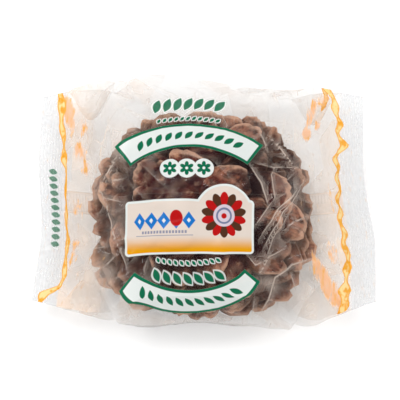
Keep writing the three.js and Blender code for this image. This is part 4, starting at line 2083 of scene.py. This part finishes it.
    def _seams(self, flat: np.ndarray, v: np.ndarray) -> dict[str, np.ndarray]:
        """Mark the painted shadow along the near bottom edge, and the back seam.

        Args:
            flat: Places on the flat sheet, of shape (stations, round, 2).
            v: The places across the sheet.

        Returns:
            How strongly the painted shadow lies on each place, and how far it lies from the seam's
            middle.
        """
        waist = v[(self.counts[Side.BOTTOM] + self.counts[Side.NEAR]) // 2]
        fold = np.exp(-((flat[..., 1] - waist) / self.fold_shadow_reach) ** 2)
        for ends in self.fold_shadow_ends:
            fold = fold * smooth(*ends, flat[..., 0])
        return {"fold": fold, "lap": flat[..., 1] - np.where(flat[..., 1] < v.mean(), v[0], v[-1])}

    def _punch(self, mesh: bmesh.types.BMesh) -> None:
        """Punch the round breathing hole through the back panel.

        Args:
            mesh: The film.
        """
        middle = Vector((*self.vent_at, 0.0)) * MM
        low = [face for face in mesh.faces if face.calc_center_median().z < 3 * MM]
        cut = [face for face in low
               if (face.calc_center_median() - middle).xy.length < self.vent_radius * MM]
        rim = {vert for face in cut for vert in face.verts}
        bmesh.ops.delete(mesh, geom=cut, context="FACES")
        for vert in rim:
            if vert.is_valid and vert.is_boundary:
                outward = (vert.co - middle).xy.normalized() * self.vent_radius * MM
                vert.co.x, vert.co.y = middle.x + outward.x, middle.y + outward.y

    def _mesh(self, points: np.ndarray, u: np.ndarray, v: np.ndarray,
              marks: dict[str, np.ndarray]) -> bpy.types.Object:
        """Make the film: a grid rolled into a tube, closed along the back and given its wall.

        Args:
            points: The tube, of shape (stations, round, 3).
            u: The places along the flat sheet.
            v: The places across it, one more than there are points round the tube.
            marks: Named values for each point.

        Returns:
            The film.
        """
        rows, columns = points.shape[:2]
        mesh = bmesh.new()
        sheet = mesh.loops.layers.uv.new("sheet")
        layers = {name: mesh.verts.layers.float.new(name) for name in marks}
        grid = bmesh.ops.create_grid(mesh, x_segments=columns, y_segments=rows - 1, size=1.0)
        places = {}
        for k, vert in enumerate(grid["verts"]):
            row, column = divmod(k, columns + 1)
            vert.co = points[row, column % columns] * MM
            for name, layer in layers.items():
                vert[layer] = marks[name][row, column % columns]
            places[vert] = (u[row] * MM, v[column] * MM)
        for face in mesh.faces:
            for loop in face.loops:
                loop[sheet].uv = places[loop.vert]
        bmesh.ops.remove_doubles(mesh, verts=mesh.verts[:], dist=0.001 * MM)
        self._punch(mesh)
        piece = object_from("film_wrap", mesh, self.finish.make())
        wall = piece.modifiers.new("wall", "SOLIDIFY")
        wall.thickness = self.wall * MM
        wall.offset = -1.0
        wall.use_even_offset = False
        return piece

    def build(self, caps: Iterable[bpy.types.Object]) -> bpy.types.Object:
        """Wrap the film round the mushroom.

        Args:
            caps: The mushroom's pieces.

        Returns:
            The film.
        """
        u, v = self._sheet_places()
        flat = np.stack(np.meshgrid(u, v[:-1], indexing="ij"), -1)
        points = self._surface(u)
        normals = self._normals(points)
        taut = self._tautness(flat)
        moved = self._drawn_in(self._gaps(points, normals, tree_of(caps)), points, taut)
        height, sharp, offset = self._folds(flat)
        height = height + self._crumple(flat, points) * (1 - taut)
        points = self._crimped(points - normals * (moved - height)[..., None], u)
        points[..., 2] = np.maximum(points[..., 2], self.wall + self.floor_gap)
        marks = {"crease": sharp, "offset": offset, **self._seams(flat, v), **self.finish.marks(flat)}
        piece = self._mesh(points, u, v, marks)
        hand_over(piece, Node.FILM)
        return piece


# ---------------------------------------------------------------------------------------------
# The studio
# ---------------------------------------------------------------------------------------------


@dataclass(frozen=True)
class Lamp:
    """A soft rectangular lamp that faces the pack, in metres and watts."""

    name: str
    place: tuple[float, float, float]
    size: Pair
    power: float

    def hang(self) -> None:
        """Hang the lamp."""
        lamp = bpy.data.lights.new(self.name, "AREA")
        lamp.shape = "RECTANGLE"
        lamp.size, lamp.size_y = self.size
        lamp.energy = self.power
        holder = bpy.data.objects.new(self.name, lamp)
        holder.location = self.place
        facing = Vector((0, 0, 0.02)) - Vector(self.place)
        holder.rotation_euler = facing.to_track_quat("-Z", "Y").to_euler()
        bpy.context.scene.collection.objects.link(holder)


@dataclass
class Studio:
    """A white floor, soft light from all round and a camera that looks steeply down.

    distance is from the target to the camera in metres, and floor_half is in metres too.
    """

    elevation: float = math.radians(80)
    distance: float = 0.85
    target: tuple[float, float, float] = (-1.7, 0.24, 20.0)
    view_width: float = 194.0
    sensor: float = 36.0
    floor_half: float = 2.0
    floor_grey: float = 0.9
    floor_glow: float = 0.1
    sky: float = 0.9
    film_bounces: int = 32
    lamps: tuple[Lamp, ...] = (
        Lamp("top_box", (-0.25, 0.3, 0.9), (0.35, 0.35), 3.0),
        Lamp("side_box", (0.8, 0.1, 0.5), (0.12, 0.6), 1.6),
        Lamp("other_box", (-0.8, -0.2, 0.45), (0.1, 0.6), 1.3))

    def _floor(self) -> None:
        """Lay the floor."""
        graph = Graph("studio_floor")
        shader = graph.node("ShaderNodeBsdfPrincipled", None, {
            "Base Color": (self.floor_grey,) * 3, "Roughness": 0.9, "Specular IOR Level": 0.0,
            "Emission Color": (1.0, 1.0, 1.0), "Emission Strength": self.floor_glow})
        mesh = bmesh.new()
        bmesh.ops.create_grid(mesh, x_segments=1, y_segments=1, size=self.floor_half)
        floor = object_from("studio_floor", mesh, graph.finish(shader.outputs[0]))

    def _camera(self) -> None:
        """Set the camera up."""
        data = bpy.data.cameras.new("camera")
        data.sensor_width = self.sensor
        data.lens = self.sensor * self.distance / (self.view_width * MM)
        camera = bpy.data.objects.new("camera", data)
        back = Vector((0, -math.cos(self.elevation), math.sin(self.elevation)))
        camera.location = Vector(self.target) * MM + back * self.distance
        camera.rotation_euler = (-back).to_track_quat("-Z", "Y").to_euler()
        bpy.context.scene.collection.objects.link(camera)
        bpy.context.scene.camera = camera

    def build(self) -> None:
        """Build the floor, the lamps, the sky and the camera."""
        self._floor()
        for lamp in self.lamps:
            lamp.hang()
        world = bpy.data.worlds.new("studio")
        world.use_nodes = True
        sky = world.node_tree.nodes["Background"]
        sky.inputs["Color"].default_value = (1.0, 1.0, 1.0, 1.0)
        sky.inputs["Strength"].default_value = self.sky
        scene = bpy.context.scene
        scene.world = world
        scene.view_settings.view_transform = "Standard"
        scene.cycles.transparent_max_bounces = self.film_bounces
        scene.cycles.diffuse_bounces = 3
        scene.cycles.glossy_bounces = 2
        self._camera()


def main() -> None:
    """Build the studio, the mushroom and its pack, and log each piece's face count."""
    logging.basicConfig(level=logging.INFO, format="%(message)s")
    Studio().build()
    caps = Maitake().build()
    FilmPack().build(caps)
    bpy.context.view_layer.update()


if __name__ == "__main__":
    main()
